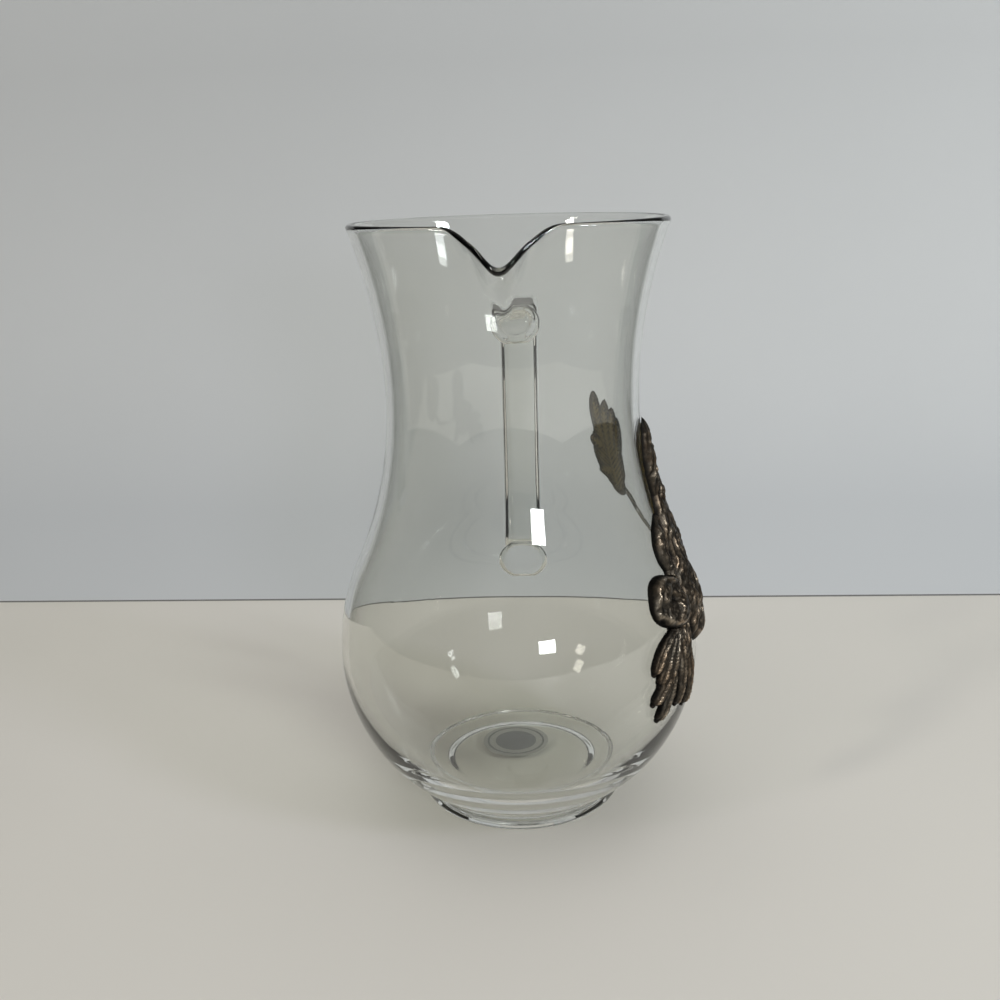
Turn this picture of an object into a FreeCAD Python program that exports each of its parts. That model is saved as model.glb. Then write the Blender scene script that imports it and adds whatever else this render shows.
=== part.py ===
import FreeCAD, Part

# A clear blown-glass pitcher with a solid glass handle and a cast metal spray on its side.
# Millimetres and degrees, +Z up. The origin is on the axis of the vessel, in the plane it stands on.
# The spout points to -Y, the handle to +Y and the spray to +X. An azimuth is measured about the axis,
# from the spout towards the spray. A place on a section through the axis is (radius, height).

import math
import os

import Sketcher
from FreeCAD import Placement, Rotation, Vector

doc = FreeCAD.newDocument("pitcher")

SIZES = {
    # Vessel, outside
    "height": 240.0,
    "rim_radius": 62.2,
    "waist_radius": 50.4,
    "waist_height": 174.0,
    "waist_curve": 161.0,
    "belly_radius": 75.0,
    "belly_height": 66.0,
    "foot_radius": 43.4,
    "foot_height": 6.2,
    "foot_round": 1.6,
    "foot_blend": 2.0,
    # Vessel, inside and underside
    "wall": 2.5,
    "floor_radius": 39.0,
    "floor_height": 11.0,
    "floor_blend": 6.0,
    "kick_radius": 33.5,
    "kick_depth": 3.0,
    "kick_blend": 3.0,
    # Lip and spout
    "neck_height": 197.0,
    "lip_thickness": 3.0,
    "spout_half_angle": 17.5,
    "spout_dip": 12.5,
    "spout_reach": 13.0,
    "weld_tolerance": 0.0001,
    # Handle
    "strap_width": 18.5,
    "strap_thickness": 11.0,
    "strap_round": 4.5,
    "upper_seat_height": 194.3,
    "lower_seat_height": 74.4,
    "handle_reach": 91.0,
    "handle_rise": 14.5,
    "handle_lean": 2.0,
    "handle_drop": 22.0,
    "upper_bend": 22.0,
    "lower_bend": 45.0,
    "upper_button_width": 21.5,
    "upper_button_height": 19.5,
    "lower_button_width": 24.5,
    "lower_button_height": 20.5,
    "button_thickness": 7.0,
    "seat_clearance": 0.05,
    # Cast spray
    "spray_start_angle": 44.0,
    "spray_end_angle": 142.0,
    "spray_bottom": 52.0,
    "spray_top": 168.0,
    "leaf_lobe_width": 9.0,
    "leaf_relief": 3.0,
    "leaf_stalk_width": 5.0,
    "leaf_stalk_relief": 2.2,
    "leaf_palm_width": 27.0,
    "strand_width": 16.5,
    "strand_relief": 5.6,
    "spur_width": 17.0,
    "spur_relief": 4.8,
    "strand_swing": 3.6,
    "root_depth": 1.2,
    "cast_tolerance": 0.001,
    "fruit_width": 24.5,
    "fruit_height": 20.5,
    "fruit_relief": 6.2,
    "fruit_lean": 22.0,
    "fruit_sink": 3.5,
    "pit_radius": 2.4,
    "bud_width": 11.0,
    "bud_relief": 4.4,
    "stem_leaf_width": 8.5,
    "stem_leaf_relief": 5.0,
    "finger_width": 5.8,
    "finger_relief": 3.8,
    # Glue and label
    "bond_thickness": 0.5,
    "bond_clearance": 0.05,
    "label_radius": 15.0,
    "label_thickness": 0.2,
    "label_clearance": 0.02,
    "label_shift_x": -3.0,
    "label_shift_y": 13.0,
}

sheet = doc.addObject("Spreadsheet::Sheet", "sizes")
for row, (alias, number) in enumerate(SIZES.items(), start=1):
    sheet.set(f"A{row}", alias)
    sheet.set(f"B{row}", str(number))
    sheet.setAlias(f"B{row}", alias)
doc.recompute()


def size(alias):
    """The number in a named cell of the sheet."""
    return float(getattr(sheet, alias))


# The outside of the vessel is four arcs. The lower and the upper belly are upright where they meet, at the
# widest place, and so are the waist and the flare of the neck at the narrowest. The upper belly and the waist
# touch where the curve turns over.

def upright_curve(run, rise):
    """Radius of an arc that is upright at one end and moves by run over a height of rise."""
    return (run**2 + rise**2) / (2 * run)


belly_height = size("belly_height")
waist_height = size("waist_height")
waist_curve = size("waist_curve")
lower_curve = upright_curve(size("belly_radius") - size("foot_radius"), belly_height - size("foot_height"))
rim_curve = upright_curve(size("rim_radius") - size("waist_radius"), size("height") - waist_height)
waist_offset = size("waist_radius") + waist_curve - size("belly_radius")
waist_rise = waist_height - belly_height
upper_curve = (waist_offset**2 + waist_rise**2 - waist_curve**2) / (2 * (waist_curve - waist_offset))

lower_centre = size("belly_radius") - lower_curve
upper_centre = size("belly_radius") - upper_curve
waist_centre = size("waist_radius") + waist_curve
rim_centre = size("waist_radius") + rim_curve
turn_height = belly_height + waist_rise * upper_curve / (upper_curve + waist_curve)

RIM_CURVE = ("((sizes.rim_radius - sizes.waist_radius)^2 + (sizes.height - sizes.waist_height)^2)"
             " / (2 * (sizes.rim_radius - sizes.waist_radius))")


def outside(height, offset=0.0):
    """Radius of the outside at a height, or of a surface that stands off it by a distance."""
    if height < belly_height:
        return lower_centre + math.sqrt((lower_curve + offset)**2 - (height - belly_height)**2)
    if height < turn_height:
        return upper_centre + math.sqrt((upper_curve + offset)**2 - (height - belly_height)**2)
    if height < waist_height:
        return waist_centre - math.sqrt((waist_curve - offset)**2 - (height - waist_height)**2)
    return rim_centre - math.sqrt((rim_curve - offset)**2 - (height - waist_height)**2)


def turn_point(offset=0.0):
    """Where the upper belly meets the waist, on a surface that stands off the outside."""
    share = (upper_curve + offset) / (upper_curve + waist_curve)
    return upper_centre + (waist_centre - upper_centre) * share, belly_height + waist_rise * share


def in_space(azimuth, radius, height):
    angle = math.radians(azimuth)
    return Vector(radius * math.sin(angle), -radius * math.cos(angle), height)


def wall_normal(azimuth, height):
    """Outward normal of the outside."""
    if height < belly_height:
        centre, level = lower_centre, belly_height
    elif height < turn_height:
        centre, level = upper_centre, belly_height
    elif height < waist_height:
        centre, level = waist_centre, waist_height
    else:
        centre, level = rim_centre, waist_height
    across = outside(height) - centre
    along = height - level
    if centre > outside(height):
        across, along = -across, -along
    return in_space(azimuth, across, along).normalize()


def wall_place(azimuth, height, lift=0.0):
    return in_space(azimuth, outside(height), height) + wall_normal(azimuth, height) * lift


def vessel_core(offset):
    """The vessel's outside as one solid, grown by a distance. It cuts the seats of what is on the wall."""
    def arc(low, high, middle):
        return Part.Arc(*[in_space(90, radius, height) for radius, height in (low, middle, high)]).toShape()

    def middle(low, high):
        level = (low[1] + high[1]) / 2
        return outside(level, offset), level

    foot = size("foot_height")
    top = size("height")
    levels = [(outside(foot, offset), foot), (size("belly_radius") + offset, belly_height), turn_point(offset),
              (size("waist_radius") + offset, waist_height), (outside(top, offset), top)]
    edges = [arc(low, high, middle(low, high)) for low, high in zip(levels, levels[1:])]
    first, last = in_space(90, *levels[0]), in_space(90, *levels[-1])
    corners = [last, Vector(0, 0, top), Vector(0, 0, foot), first]
    edges += [Part.LineSegment(a, b).toShape() for a, b in zip(corners, corners[1:])]
    return Part.Face(Part.Wire(edges)).revolve(Vector(0, 0, 0), Vector(0, 0, 1), 360)


# Sketch helpers

def origin_plane(body, role):
    return next(item for item in body.Origin.OriginFeatures if item.Role == role)


def new_sketch(body, name, role):
    sketch = body.newObject("Sketcher::SketchObject", name)
    sketch.AttachmentSupport = [(origin_plane(body, role), "")]
    sketch.MapMode = "FlatFace"
    return sketch


def line(start, end):
    return Part.LineSegment(Vector(*start, 0), Vector(*end, 0))


def arc_about(centre, start, end):
    """Arc about a centre, counter-clockwise from start to end."""
    first = math.atan2(start[1] - centre[1], start[0] - centre[0])
    last = math.atan2(end[1] - centre[1], end[0] - centre[0])
    if last < first:
        last += 2 * math.pi
    circle = Part.Circle(Vector(*centre, 0), Vector(0, 0, 1), math.dist(centre, start))
    return Part.ArcOfCircle(circle, first, last)


def relate(sketch, kind, *places):
    sketch.addConstraint(Sketcher.Constraint(kind, *places))


def measure(sketch, kind, places, name, value, expression):
    """A named dimension of a sketch, driven by the sheet."""
    index = sketch.addConstraint(Sketcher.Constraint(kind, *places, value))
    sketch.renameConstraint(index, name)
    sketch.setExpression(f"Constraints.{name}", expression)


START, END, CENTRE = 1, 2, 3
ORIGIN = (-1, 1)
ACROSS_AXIS, UPRIGHT_AXIS = -1, -2


def place_point(sketch, item, end, name, x=None, y=None):
    """Dimensions from the sketch's origin to one point of an item, each a value with its expression."""
    if x:
        measure(sketch, "DistanceX", (*ORIGIN, item, end), f"{name}_x", *x)
    if y:
        measure(sketch, "DistanceY", (*ORIGIN, item, end), f"{name}_y", *y)


def cell(alias):
    """A value of the sheet with the expression that names it."""
    return size(alias), f"sizes.{alias}"


# Vessel: one revolved wall section, from the underside up to the neck and back down the inside.

vessel = doc.addObject("PartDesign::Body", "vessel")
section = new_sketch(vessel, "wall_section", "XZ_Plane")

wall = size("wall")
kick, kick_radius = size("kick_depth"), size("kick_radius")
foot_radius, foot_round, foot_height = size("foot_radius"), size("foot_round"), size("foot_height")
neck = size("neck_height")
belly_point = (size("belly_radius"), belly_height)
waist_point = (size("waist_radius"), waist_height)
neck_point = (outside(neck), neck)
neck_inside = (outside(neck, -wall), neck)
belly_inside = (belly_point[0] - wall, belly_height)
waist_inside = (waist_point[0] - wall, waist_height)
floor_point = (size("floor_radius"), size("floor_height"))
inner_curve = upright_curve(belly_inside[0] - floor_point[0], belly_height - floor_point[1])
turn, turn_inside = turn_point(), turn_point(-wall)
lower_hub, upper_hub = (lower_centre, belly_height), (upper_centre, belly_height)
waist_hub, rim_hub = (waist_centre, waist_height), (rim_centre, waist_height)

outline = {
    "underside": line((0, kick), (kick_radius - kick, kick)),
    "kick_slope": line((kick_radius - kick, kick), (kick_radius, 0)),
    "foot_ring": line((kick_radius, 0), (foot_radius - foot_round, 0)),
    "foot_edge": arc_about((foot_radius - foot_round, foot_round), (foot_radius - foot_round, 0),
                           (foot_radius, foot_round)),
    "foot_side": line((foot_radius, foot_round), (foot_radius, foot_height)),
    "lower_belly": arc_about(lower_hub, (foot_radius, foot_height), belly_point),
    "upper_belly": arc_about(upper_hub, belly_point, turn),
    "waist": arc_about(waist_hub, waist_point, turn),
    "neck": arc_about(rim_hub, neck_point, waist_point),
    "neck_top": line(neck_point, neck_inside),
    "inner_neck": arc_about(rim_hub, neck_inside, waist_inside),
    "inner_waist": arc_about(waist_hub, waist_inside, turn_inside),
    "inner_upper": arc_about(upper_hub, belly_inside, turn_inside),
    "inner_lower": arc_about((belly_inside[0] - inner_curve, belly_height), floor_point, belly_inside),
    "inner_floor": line(floor_point, (0, floor_point[1])),
    "axis_side": line((0, floor_point[1]), (0, kick)),
    "hub_line": line(upper_hub, waist_hub),
}
item = {name: section.addGeometry(shape, name == "hub_line") for name, shape in outline.items()}

for first, first_end, second, second_end in (
        ("underside", END, "kick_slope", START), ("kick_slope", END, "foot_ring", START),
        ("foot_side", END, "lower_belly", START), ("lower_belly", END, "upper_belly", START),
        ("waist", START, "neck", END), ("neck", START, "neck_top", START),
        ("neck_top", END, "inner_neck", START), ("inner_neck", END, "inner_waist", START),
        ("inner_waist", END, "inner_upper", END), ("inner_upper", START, "inner_lower", END),
        ("inner_lower", START, "inner_floor", START), ("inner_floor", END, "axis_side", START),
        ("axis_side", END, "underside", START), ("hub_line", START, "upper_belly", CENTRE),
        ("hub_line", END, "waist", CENTRE), ("inner_neck", CENTRE, "neck", CENTRE),
        ("inner_waist", CENTRE, "waist", CENTRE), ("inner_upper", CENTRE, "upper_belly", CENTRE)):
    relate(section, "Coincident", item[first], first_end, item[second], second_end)
relate(section, "Tangent", item["foot_ring"], END, item["foot_edge"], START)
relate(section, "Tangent", item["foot_edge"], END, item["foot_side"], START)
relate(section, "Tangent", item["upper_belly"], END, item["waist"], END)
for name in ("underside", "foot_ring", "neck_top", "inner_floor"):
    relate(section, "Horizontal", item[name])
relate(section, "Vertical", item["foot_side"])
relate(section, "PointOnObject", item["underside"], START, UPRIGHT_AXIS)
relate(section, "PointOnObject", item["inner_floor"], END, UPRIGHT_AXIS)
relate(section, "PointOnObject", item["foot_ring"], START, ACROSS_AXIS)
relate(section, "PointOnObject", item["inner_upper"], END, item["hub_line"])

place_point(section, item["underside"], START, "kick", y=cell("kick_depth"))
place_point(section, item["underside"], END, "kick_edge",
            x=(kick_radius - kick, "sizes.kick_radius - sizes.kick_depth"))
place_point(section, item["foot_ring"], START, "kick_ring", x=cell("kick_radius"))
place_point(section, item["foot_side"], START, "foot", x=cell("foot_radius"))
place_point(section, item["foot_side"], END, "foot_top", y=cell("foot_height"))
measure(section, "Radius", (item["foot_edge"],), "foot_round", *cell("foot_round"))
place_point(section, item["lower_belly"], END, "belly", cell("belly_radius"), cell("belly_height"))
place_point(section, item["lower_belly"], CENTRE, "lower_hub", y=cell("belly_height"))
place_point(section, item["upper_belly"], CENTRE, "upper_hub", y=cell("belly_height"))
place_point(section, item["waist"], START, "waist", cell("waist_radius"), cell("waist_height"))
place_point(section, item["waist"], CENTRE, "waist_hub", y=cell("waist_height"))
measure(section, "Radius", (item["waist"],), "waist_curve", *cell("waist_curve"))
place_point(section, item["neck"], CENTRE, "rim_hub", y=cell("waist_height"))
measure(section, "Radius", (item["neck"],), "rim_curve", rim_curve, RIM_CURVE)
place_point(section, item["neck"], START, "neck", y=cell("neck_height"))
place_point(section, item["inner_upper"], START, "inner_belly",
            (belly_inside[0], "sizes.belly_radius - sizes.wall"), cell("belly_height"))
place_point(section, item["inner_lower"], CENTRE, "inner_hub", y=cell("belly_height"))
place_point(section, item["inner_floor"], START, "floor", cell("floor_radius"), cell("floor_height"))
place_point(section, item["inner_waist"], START, "inner_waist", y=cell("waist_height"))

turning = vessel.newObject("PartDesign::Revolution", "vessel_turning")
turning.Profile = section
turning.ReferenceAxis = (section, ["V_Axis"])
turning.Angle = 360
doc.recompute()


def ring_edge(shape, radius, height):
    """Name of the circular edge of a turned shape at a place of its section."""
    def miss(edge):
        circle = edge.Curve
        if not isinstance(circle, Part.Circle):
            return math.inf
        return math.hypot(circle.Radius - radius, circle.Center.z - height)
    best = min(range(len(shape.Edges)), key=lambda index: miss(shape.Edges[index]))
    return f"Edge{best + 1}"


for name, alias, place in (("floor_corner", "floor_blend", floor_point),
                           ("foot_corner", "foot_blend", (foot_radius, foot_height)),
                           ("kick_rim", "kick_blend", (kick_radius, 0)),
                           ("kick_edge", "kick_blend", (kick_radius - kick, kick))):
    blend = vessel.newObject("PartDesign::Fillet", name)
    base = vessel.Tip if vessel.Tip != blend else turning
    blend.Base = (base, [ring_edge(base.Shape, *place)])
    blend.setExpression("Radius", f"sizes.{alias}")
    vessel.Tip = blend
    doc.recompute()


# Lip: the rest of the wall, from the neck to the rounded rim. Its section is turned about the axis, except
# at the front, where the sections of the spout lean out and dip between two plain ones.

SPOUT_FALL_SHARE = 0.4
SPOUT_FADE_SHARES = (0.5, 1.2)
SPOUT_EDGE_SHARE = 1.5
SPOUT_SECTIONS = 31
LOFT_DEGREE = 5


def spout_share(angle_share):
    """Share of the spout's dip and reach at a share of its half angle: a rounded V whose sides fade out."""
    offset = abs(angle_share)
    fade_start, fade_end = SPOUT_FADE_SHARES
    fade = min(max((offset - fade_start) / (fade_end - fade_start), 0.0), 1.0)
    return (1 - fade**2 * (3 - 2 * fade)) / (1 + (offset / SPOUT_FALL_SHARE)**2)


def turned(direction, angle):
    c, s = math.cos(angle), math.sin(angle)
    return direction[0] * c - direction[1] * s, direction[0] * s + direction[1] * c


def flaring_arc(azimuth, start, direction, end):
    """Arc of a section that leaves start along a direction and reaches end."""
    across, along = end[0] - start[0], end[1] - start[1]
    bend = math.atan2(direction[0] * along - direction[1] * across, direction[0] * across + direction[1] * along)
    half_chord = math.hypot(across, along) / 2 / math.cos(bend / 2)
    aim = turned(direction, bend / 2)
    middle = (start[0] + aim[0] * half_chord, start[1] + aim[1] * half_chord)
    return Part.Arc(*[in_space(azimuth, *place) for place in (start, middle, end)]).toShape()


def rising(place):
    """Upward direction of the neck's arcs at a place on one of them."""
    across, along = place[0] - rim_centre, place[1] - waist_height
    length = math.hypot(across, along)
    return along / length, -across / length


def lip_section(azimuth, dip_share):
    """The wall from the neck to the rim at one azimuth, as a closed wire."""
    half = size("lip_thickness") / 2
    level = size("height") - half
    root = ((neck_point[0] + neck_inside[0]) / 2, neck)
    rim = (outside(level, -half) + size("spout_reach") * dip_share, level - size("spout_dip") * dip_share)
    across, along = rim[0] - root[0], rim[1] - root[1]
    start = rising(root)
    bend = math.atan2(start[0] * along - start[1] * across, start[0] * across + start[1] * along)
    end = turned(start, 2 * bend)
    outer = (rim[0] + end[1] * half, rim[1] - end[0] * half)
    inner = (rim[0] - end[1] * half, rim[1] + end[0] * half)
    crest = (rim[0] + end[0] * half, rim[1] + end[1] * half)
    return Part.Wire([
        flaring_arc(azimuth, neck_point, rising(neck_point), outer),
        Part.Arc(*[in_space(azimuth, *place) for place in (outer, crest, inner)]).toShape(),
        flaring_arc(azimuth, neck_inside, rising(neck_inside), inner),
        Part.LineSegment(in_space(azimuth, *neck_inside), in_space(azimuth, *neck_point)).toShape(),
    ])


half_angle = size("spout_half_angle")
spread = [SPOUT_EDGE_SHARE * (2 * step / (SPOUT_SECTIONS - 1) - 1) for step in range(SPOUT_SECTIONS)]
edge_angle = SPOUT_EDGE_SHARE * half_angle

spout = doc.addObject("Part::Feature", "spout")
spout.Shape = Part.makeLoft([lip_section(share * half_angle, spout_share(share)) for share in spread],
                            True, False, False, LOFT_DEGREE)
rim = doc.addObject("Part::Feature", "rim")
rim.Shape = Part.Face(lip_section(edge_angle, 0.0)).revolve(
    Vector(0, 0, 0), Vector(0, 0, 1), 360 - 2 * edge_angle)
bowl = doc.addObject("Part::Fuse", "bowl")
bowl.Base = vessel
bowl.Tool = rim
doc.recompute()
glass_body = doc.addObject("Part::Feature", "glass_body")
glass_body.Shape = bowl.Shape.fuse([spout.Shape], size("weld_tolerance")).Solids[0]


# Handle: a strap of rounded oblong section along a bent spine, with a pressed button at each end, cut back
# to the wall.

handle_blank = doc.addObject("PartDesign::Body", "handle_blank")
strap_width, strap_thickness = size("strap_width"), size("strap_thickness")
spine_corners = {
    "upper_end": ((size("waist_radius") - strap_thickness / 2, "sizes.waist_radius - sizes.strap_thickness / 2"),
                  cell("upper_seat_height")),
    "upper_corner": (cell("handle_reach"),
                     (size("upper_seat_height") + size("handle_rise"),
                      "sizes.upper_seat_height + sizes.handle_rise")),
    "lower_corner": ((size("handle_reach") - size("handle_lean"), "sizes.handle_reach - sizes.handle_lean"),
                     (size("lower_seat_height") + size("handle_drop"),
                      "sizes.lower_seat_height + sizes.handle_drop")),
    "lower_end": ((size("belly_radius") - strap_thickness, "sizes.belly_radius - sizes.strap_thickness"),
                  (size("lower_seat_height") - strap_thickness,
                   "sizes.lower_seat_height - sizes.strap_thickness")),
}
corners = {name: (x[0], y[0]) for name, (x, y) in spine_corners.items()}


def rounded_corner(before, corner, after, radius):
    """Start, centre and end of the arc that rounds a clockwise corner."""
    towards = [(end[0] - corner[0], end[1] - corner[1]) for end in (before, after)]
    units = [(x / math.hypot(x, y), y / math.hypot(x, y)) for x, y in towards]
    opening = math.acos(units[0][0] * units[1][0] + units[0][1] * units[1][1])
    reach = radius / math.tan(opening / 2)
    start, end = [(corner[0] + x * reach, corner[1] + y * reach) for x, y in units]
    return start, (start[0] + units[0][1] * -radius, start[1] + units[0][0] * radius), end


spine = new_sketch(handle_blank, "handle_spine", "YZ_Plane")
top_start, top_hub, top_end = rounded_corner(corners["upper_end"], corners["upper_corner"],
                                             corners["lower_corner"], size("upper_bend"))
low_start, low_hub, low_end = rounded_corner(corners["upper_corner"], corners["lower_corner"],
                                             corners["lower_end"], size("lower_bend"))
path = {
    "arm": line(corners["upper_end"], top_start),
    "upper_bend": arc_about(top_hub, top_end, top_start),
    "grip": line(top_end, low_start),
    "lower_bend": arc_about(low_hub, low_end, low_start),
    "leg": line(low_end, corners["lower_end"]),
    "upper_arm": line(top_start, corners["upper_corner"]),
    "upper_grip": line(corners["upper_corner"], top_end),
    "lower_grip": line(low_start, corners["lower_corner"]),
    "lower_leg": line(corners["lower_corner"], low_end),
}
guides = ("upper_arm", "upper_grip", "lower_grip", "lower_leg")
run = {name: spine.addGeometry(shape, name in guides) for name, shape in path.items()}
for first, first_end, second, second_end in (
        ("arm", END, "upper_bend", END), ("upper_bend", START, "grip", START),
        ("grip", END, "lower_bend", END), ("lower_bend", START, "leg", START)):
    relate(spine, "Tangent", run[first], first_end, run[second], second_end)
for first, first_end, second, second_end in (
        ("upper_arm", START, "arm", END), ("upper_arm", END, "upper_grip", START),
        ("upper_grip", END, "grip", START), ("lower_grip", START, "grip", END),
        ("lower_grip", END, "lower_leg", START), ("lower_leg", END, "leg", START)):
    relate(spine, "Coincident", run[first], first_end, run[second], second_end)
relate(spine, "Parallel", run["upper_arm"], run["arm"])
relate(spine, "Parallel", run["upper_grip"], run["grip"])
relate(spine, "Parallel", run["lower_leg"], run["leg"])
relate(spine, "Parallel", run["lower_grip"], run["grip"])
place_point(spine, run["arm"], START, "upper_end", *spine_corners["upper_end"])
place_point(spine, run["upper_arm"], END, "upper_corner", *spine_corners["upper_corner"])
place_point(spine, run["lower_grip"], END, "lower_corner", *spine_corners["lower_corner"])
place_point(spine, run["leg"], END, "lower_end", *spine_corners["lower_end"])
measure(spine, "Radius", (run["upper_bend"],), "upper_bend", *cell("upper_bend"))
measure(spine, "Radius", (run["lower_bend"],), "lower_bend", *cell("lower_bend"))

strap = new_sketch(handle_blank, "strap_section", "XZ_Plane")
arm_run = corners["upper_corner"][0] - corners["upper_end"][0]
strap.AttachmentOffset = Placement(
    Vector(0, corners["upper_end"][1], -corners["upper_end"][0]),
    Rotation(Vector(1, 0, 0), math.degrees(math.atan2(size("handle_rise"), arm_run))))
strap.setExpression("AttachmentOffset.Base.y", spine_corners["upper_end"][1][1])
strap.setExpression("AttachmentOffset.Base.z", f"-({spine_corners['upper_end'][0][1]})")
strap.setExpression("AttachmentOffset.Rotation.Angle",
                    f"atan(sizes.handle_rise / (sizes.handle_reach - ({spine_corners['upper_end'][0][1]})))")
half_width, half_thickness, strap_round = strap_width / 2, strap_thickness / 2, size("strap_round")
flat, rise = half_width - strap_round, half_thickness - strap_round
loop = {
    "top": line((flat, half_thickness), (-flat, half_thickness)),
    "top_left": arc_about((-flat, rise), (-flat, half_thickness), (-half_width, rise)),
    "left": line((-half_width, rise), (-half_width, -rise)),
    "bottom_left": arc_about((-flat, -rise), (-half_width, -rise), (-flat, -half_thickness)),
    "bottom": line((-flat, -half_thickness), (flat, -half_thickness)),
    "bottom_right": arc_about((flat, -rise), (flat, -half_thickness), (half_width, -rise)),
    "right": line((half_width, -rise), (half_width, rise)),
    "top_right": arc_about((flat, rise), (half_width, rise), (flat, half_thickness)),
}
side = {name: strap.addGeometry(shape) for name, shape in loop.items()}
names = list(side)
for name, after in zip(names, names[1:] + names[:1]):
    relate(strap, "Tangent", side[name], END, side[after], START)
for name in ("top", "bottom"):
    relate(strap, "Horizontal", side[name])
for name in ("left", "right"):
    relate(strap, "Vertical", side[name])
for name in ("bottom_left", "bottom_right", "top_right"):
    relate(strap, "Equal", side["top_left"], side[name])
measure(strap, "Radius", (side["top_left"],), "strap_round", *cell("strap_round"))
place_point(strap, side["top"], START, "top", y=(half_thickness, "sizes.strap_thickness / 2"))
place_point(strap, side["bottom"], START, "bottom", y=(-half_thickness, "-sizes.strap_thickness / 2"))
place_point(strap, side["left"], START, "left", x=(-half_width, "-sizes.strap_width / 2"))
place_point(strap, side["right"], START, "right", x=(half_width, "sizes.strap_width / 2"))
doc.recompute()

pipe = handle_blank.newObject("PartDesign::AdditivePipe", "handle_strap")
pipe.Profile = strap
pipe.Spine = (spine, [f"Edge{number}" for number in range(1, len(path) - len(guides) + 1)])
doc.recompute()

WAIST_OFFSET = "(sizes.waist_radius + sizes.waist_curve - sizes.belly_radius)"
UPPER_CURVE = (f"({WAIST_OFFSET}^2 + (sizes.waist_height - sizes.belly_height)^2 - sizes.waist_curve^2)"
               f" / (2 * (sizes.waist_curve - {WAIST_OFFSET}))")
UPPER_SEAT = (f"sizes.waist_radius + {RIM_CURVE}"
              f" - sqrt(({RIM_CURVE})^2 - (sizes.upper_seat_height - sizes.waist_height)^2)")
LOWER_SEAT = (f"sizes.belly_radius - {UPPER_CURVE}"
              f" + sqrt(({UPPER_CURVE})^2 - (sizes.lower_seat_height - sizes.belly_height)^2)")

for end, seat in (("upper", UPPER_SEAT), ("lower", LOWER_SEAT)):
    button = handle_blank.newObject("PartDesign::AdditiveEllipsoid", f"{end}_button")
    button.AttachmentSupport = [(origin_plane(handle_blank, "XZ_Plane"), "")]
    button.MapMode = "FlatFace"
    button.setExpression("AttachmentOffset.Base.y", f"sizes.{end}_seat_height")
    button.setExpression("AttachmentOffset.Base.z", f"-({seat})")
    button.setExpression("Radius1", "sizes.button_thickness / 2")
    button.setExpression("Radius2", f"sizes.{end}_button_width / 2")
    button.setExpression("Radius3", f"sizes.{end}_button_height / 2")
    doc.recompute()

seat_core = doc.addObject("Part::Feature", "seat_core")
seat_core.Shape = vessel_core(size("seat_clearance"))
handle = doc.addObject("Part::Cut", "handle")
handle.Base = handle_blank
handle.Tool = seat_core
doc.recompute()


# Cast spray: lobes, strands and a fruit laid along the wall, each cut back to its bed of glue.
# Places are shares of the spray's spread about the axis and of its height.

LEAF_LOBE_SHARES = (
    ((0.878, 0.759), (0.929, 0.879), (0.949, 0.983)),
    ((0.857, 0.759), (0.872, 0.862), (0.864, 0.957)),
    ((0.827, 0.759), (0.821, 0.845), (0.804, 0.935)),
    ((0.806, 0.741), (0.781, 0.828), (0.761, 0.901)),
    ((0.867, 0.759), (0.934, 0.784), (0.988, 0.802)),
    ((0.847, 0.698), (0.903, 0.681), (0.957, 0.668)),
)
LEAF_PALM_SHARES = ((0.847, 0.625), (0.867, 0.759), (0.878, 0.897))
LEAF_STALK_SHARES = ((0.459, 0.466), (0.633, 0.483), (0.709, 0.513), (0.765, 0.582), (0.867, 0.664))
BRANCH_SHARES = ((0.408, 0.961), (0.408, 0.845), (0.398, 0.724), (0.388, 0.595), (0.367, 0.483),
                 (0.347, 0.379), (0.316, 0.276), (0.265, 0.207))
BRANCH_TAPER_SHARES = (0.62, 0.80, 0.90, 1.0, 1.0, 0.92, 0.65)
BRANCH_SPUR_SHARES = ((0.388, 0.603), (0.327, 0.440), (0.224, 0.276))
BUD_SHARES = ((0.276, 0.621), (0.224, 0.543), (0.230, 0.457))
STEM_LEAF_SHARES = ((0.378, 0.336), (0.418, 0.241), (0.418, 0.155))
FRUIT_SHARE = (0.146, 0.391)
FRUIT_DOME_SHARES = ((0.0, 1.0), (0.45, 0.99), (0.72, 0.94), (0.90, 0.82), (0.98, 0.58))
FRUIT_PIT_SHARES = ((0.0, 0.1), (0.66, 0.5))
FRUIT_SQUARENESS = 3.0
FRUIT_CORNERS = 16
FINGER_SHARES = (
    ((0.133, 0.302), (0.049, 0.259), (0.008, 0.200)),
    ((0.143, 0.302), (0.066, 0.224), (0.026, 0.153)),
    ((0.153, 0.293), (0.102, 0.224), (0.066, 0.138)),
    ((0.102, 0.190), (0.036, 0.138), (0.000, 0.097)),
    ((0.112, 0.190), (0.061, 0.095), (0.026, 0.030)),
    ((0.160, 0.295), (0.140, 0.155), (0.117, 0.052)),
    ((0.185, 0.290), (0.192, 0.140), (0.173, 0.026)),
)
LOBE_TAPER_SHARES = ((0.0, 0.60), (0.2, 0.9), (0.45, 1.0), (0.7, 0.92), (0.88, 0.7), (0.97, 0.42), (1.0, 0.2))
FINGER_TAPER_SHARES = ((0.0, 0.60), (0.2, 0.85), (0.5, 1.0), (0.8, 1.0), (0.92, 0.92), (0.98, 0.75),
                       (1.0, 0.55))
STRAND_TURNS = 1.5
STRAND_STATIONS = 15

bond = size("bond_thickness")
bond_clearance = size("bond_clearance")
bed_core = vessel_core(bond)
bed_shell = vessel_core(bond - bond_clearance).cut(vessel_core(bond_clearance))
blanks = {}
beds = []


def spray_place(place):
    """Azimuth and height of a place on the spray."""
    start, bottom = size("spray_start_angle"), size("spray_bottom")
    return (start + (size("spray_end_angle") - start) * place[0],
            bottom + (size("spray_top") - bottom) * place[1])


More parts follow.
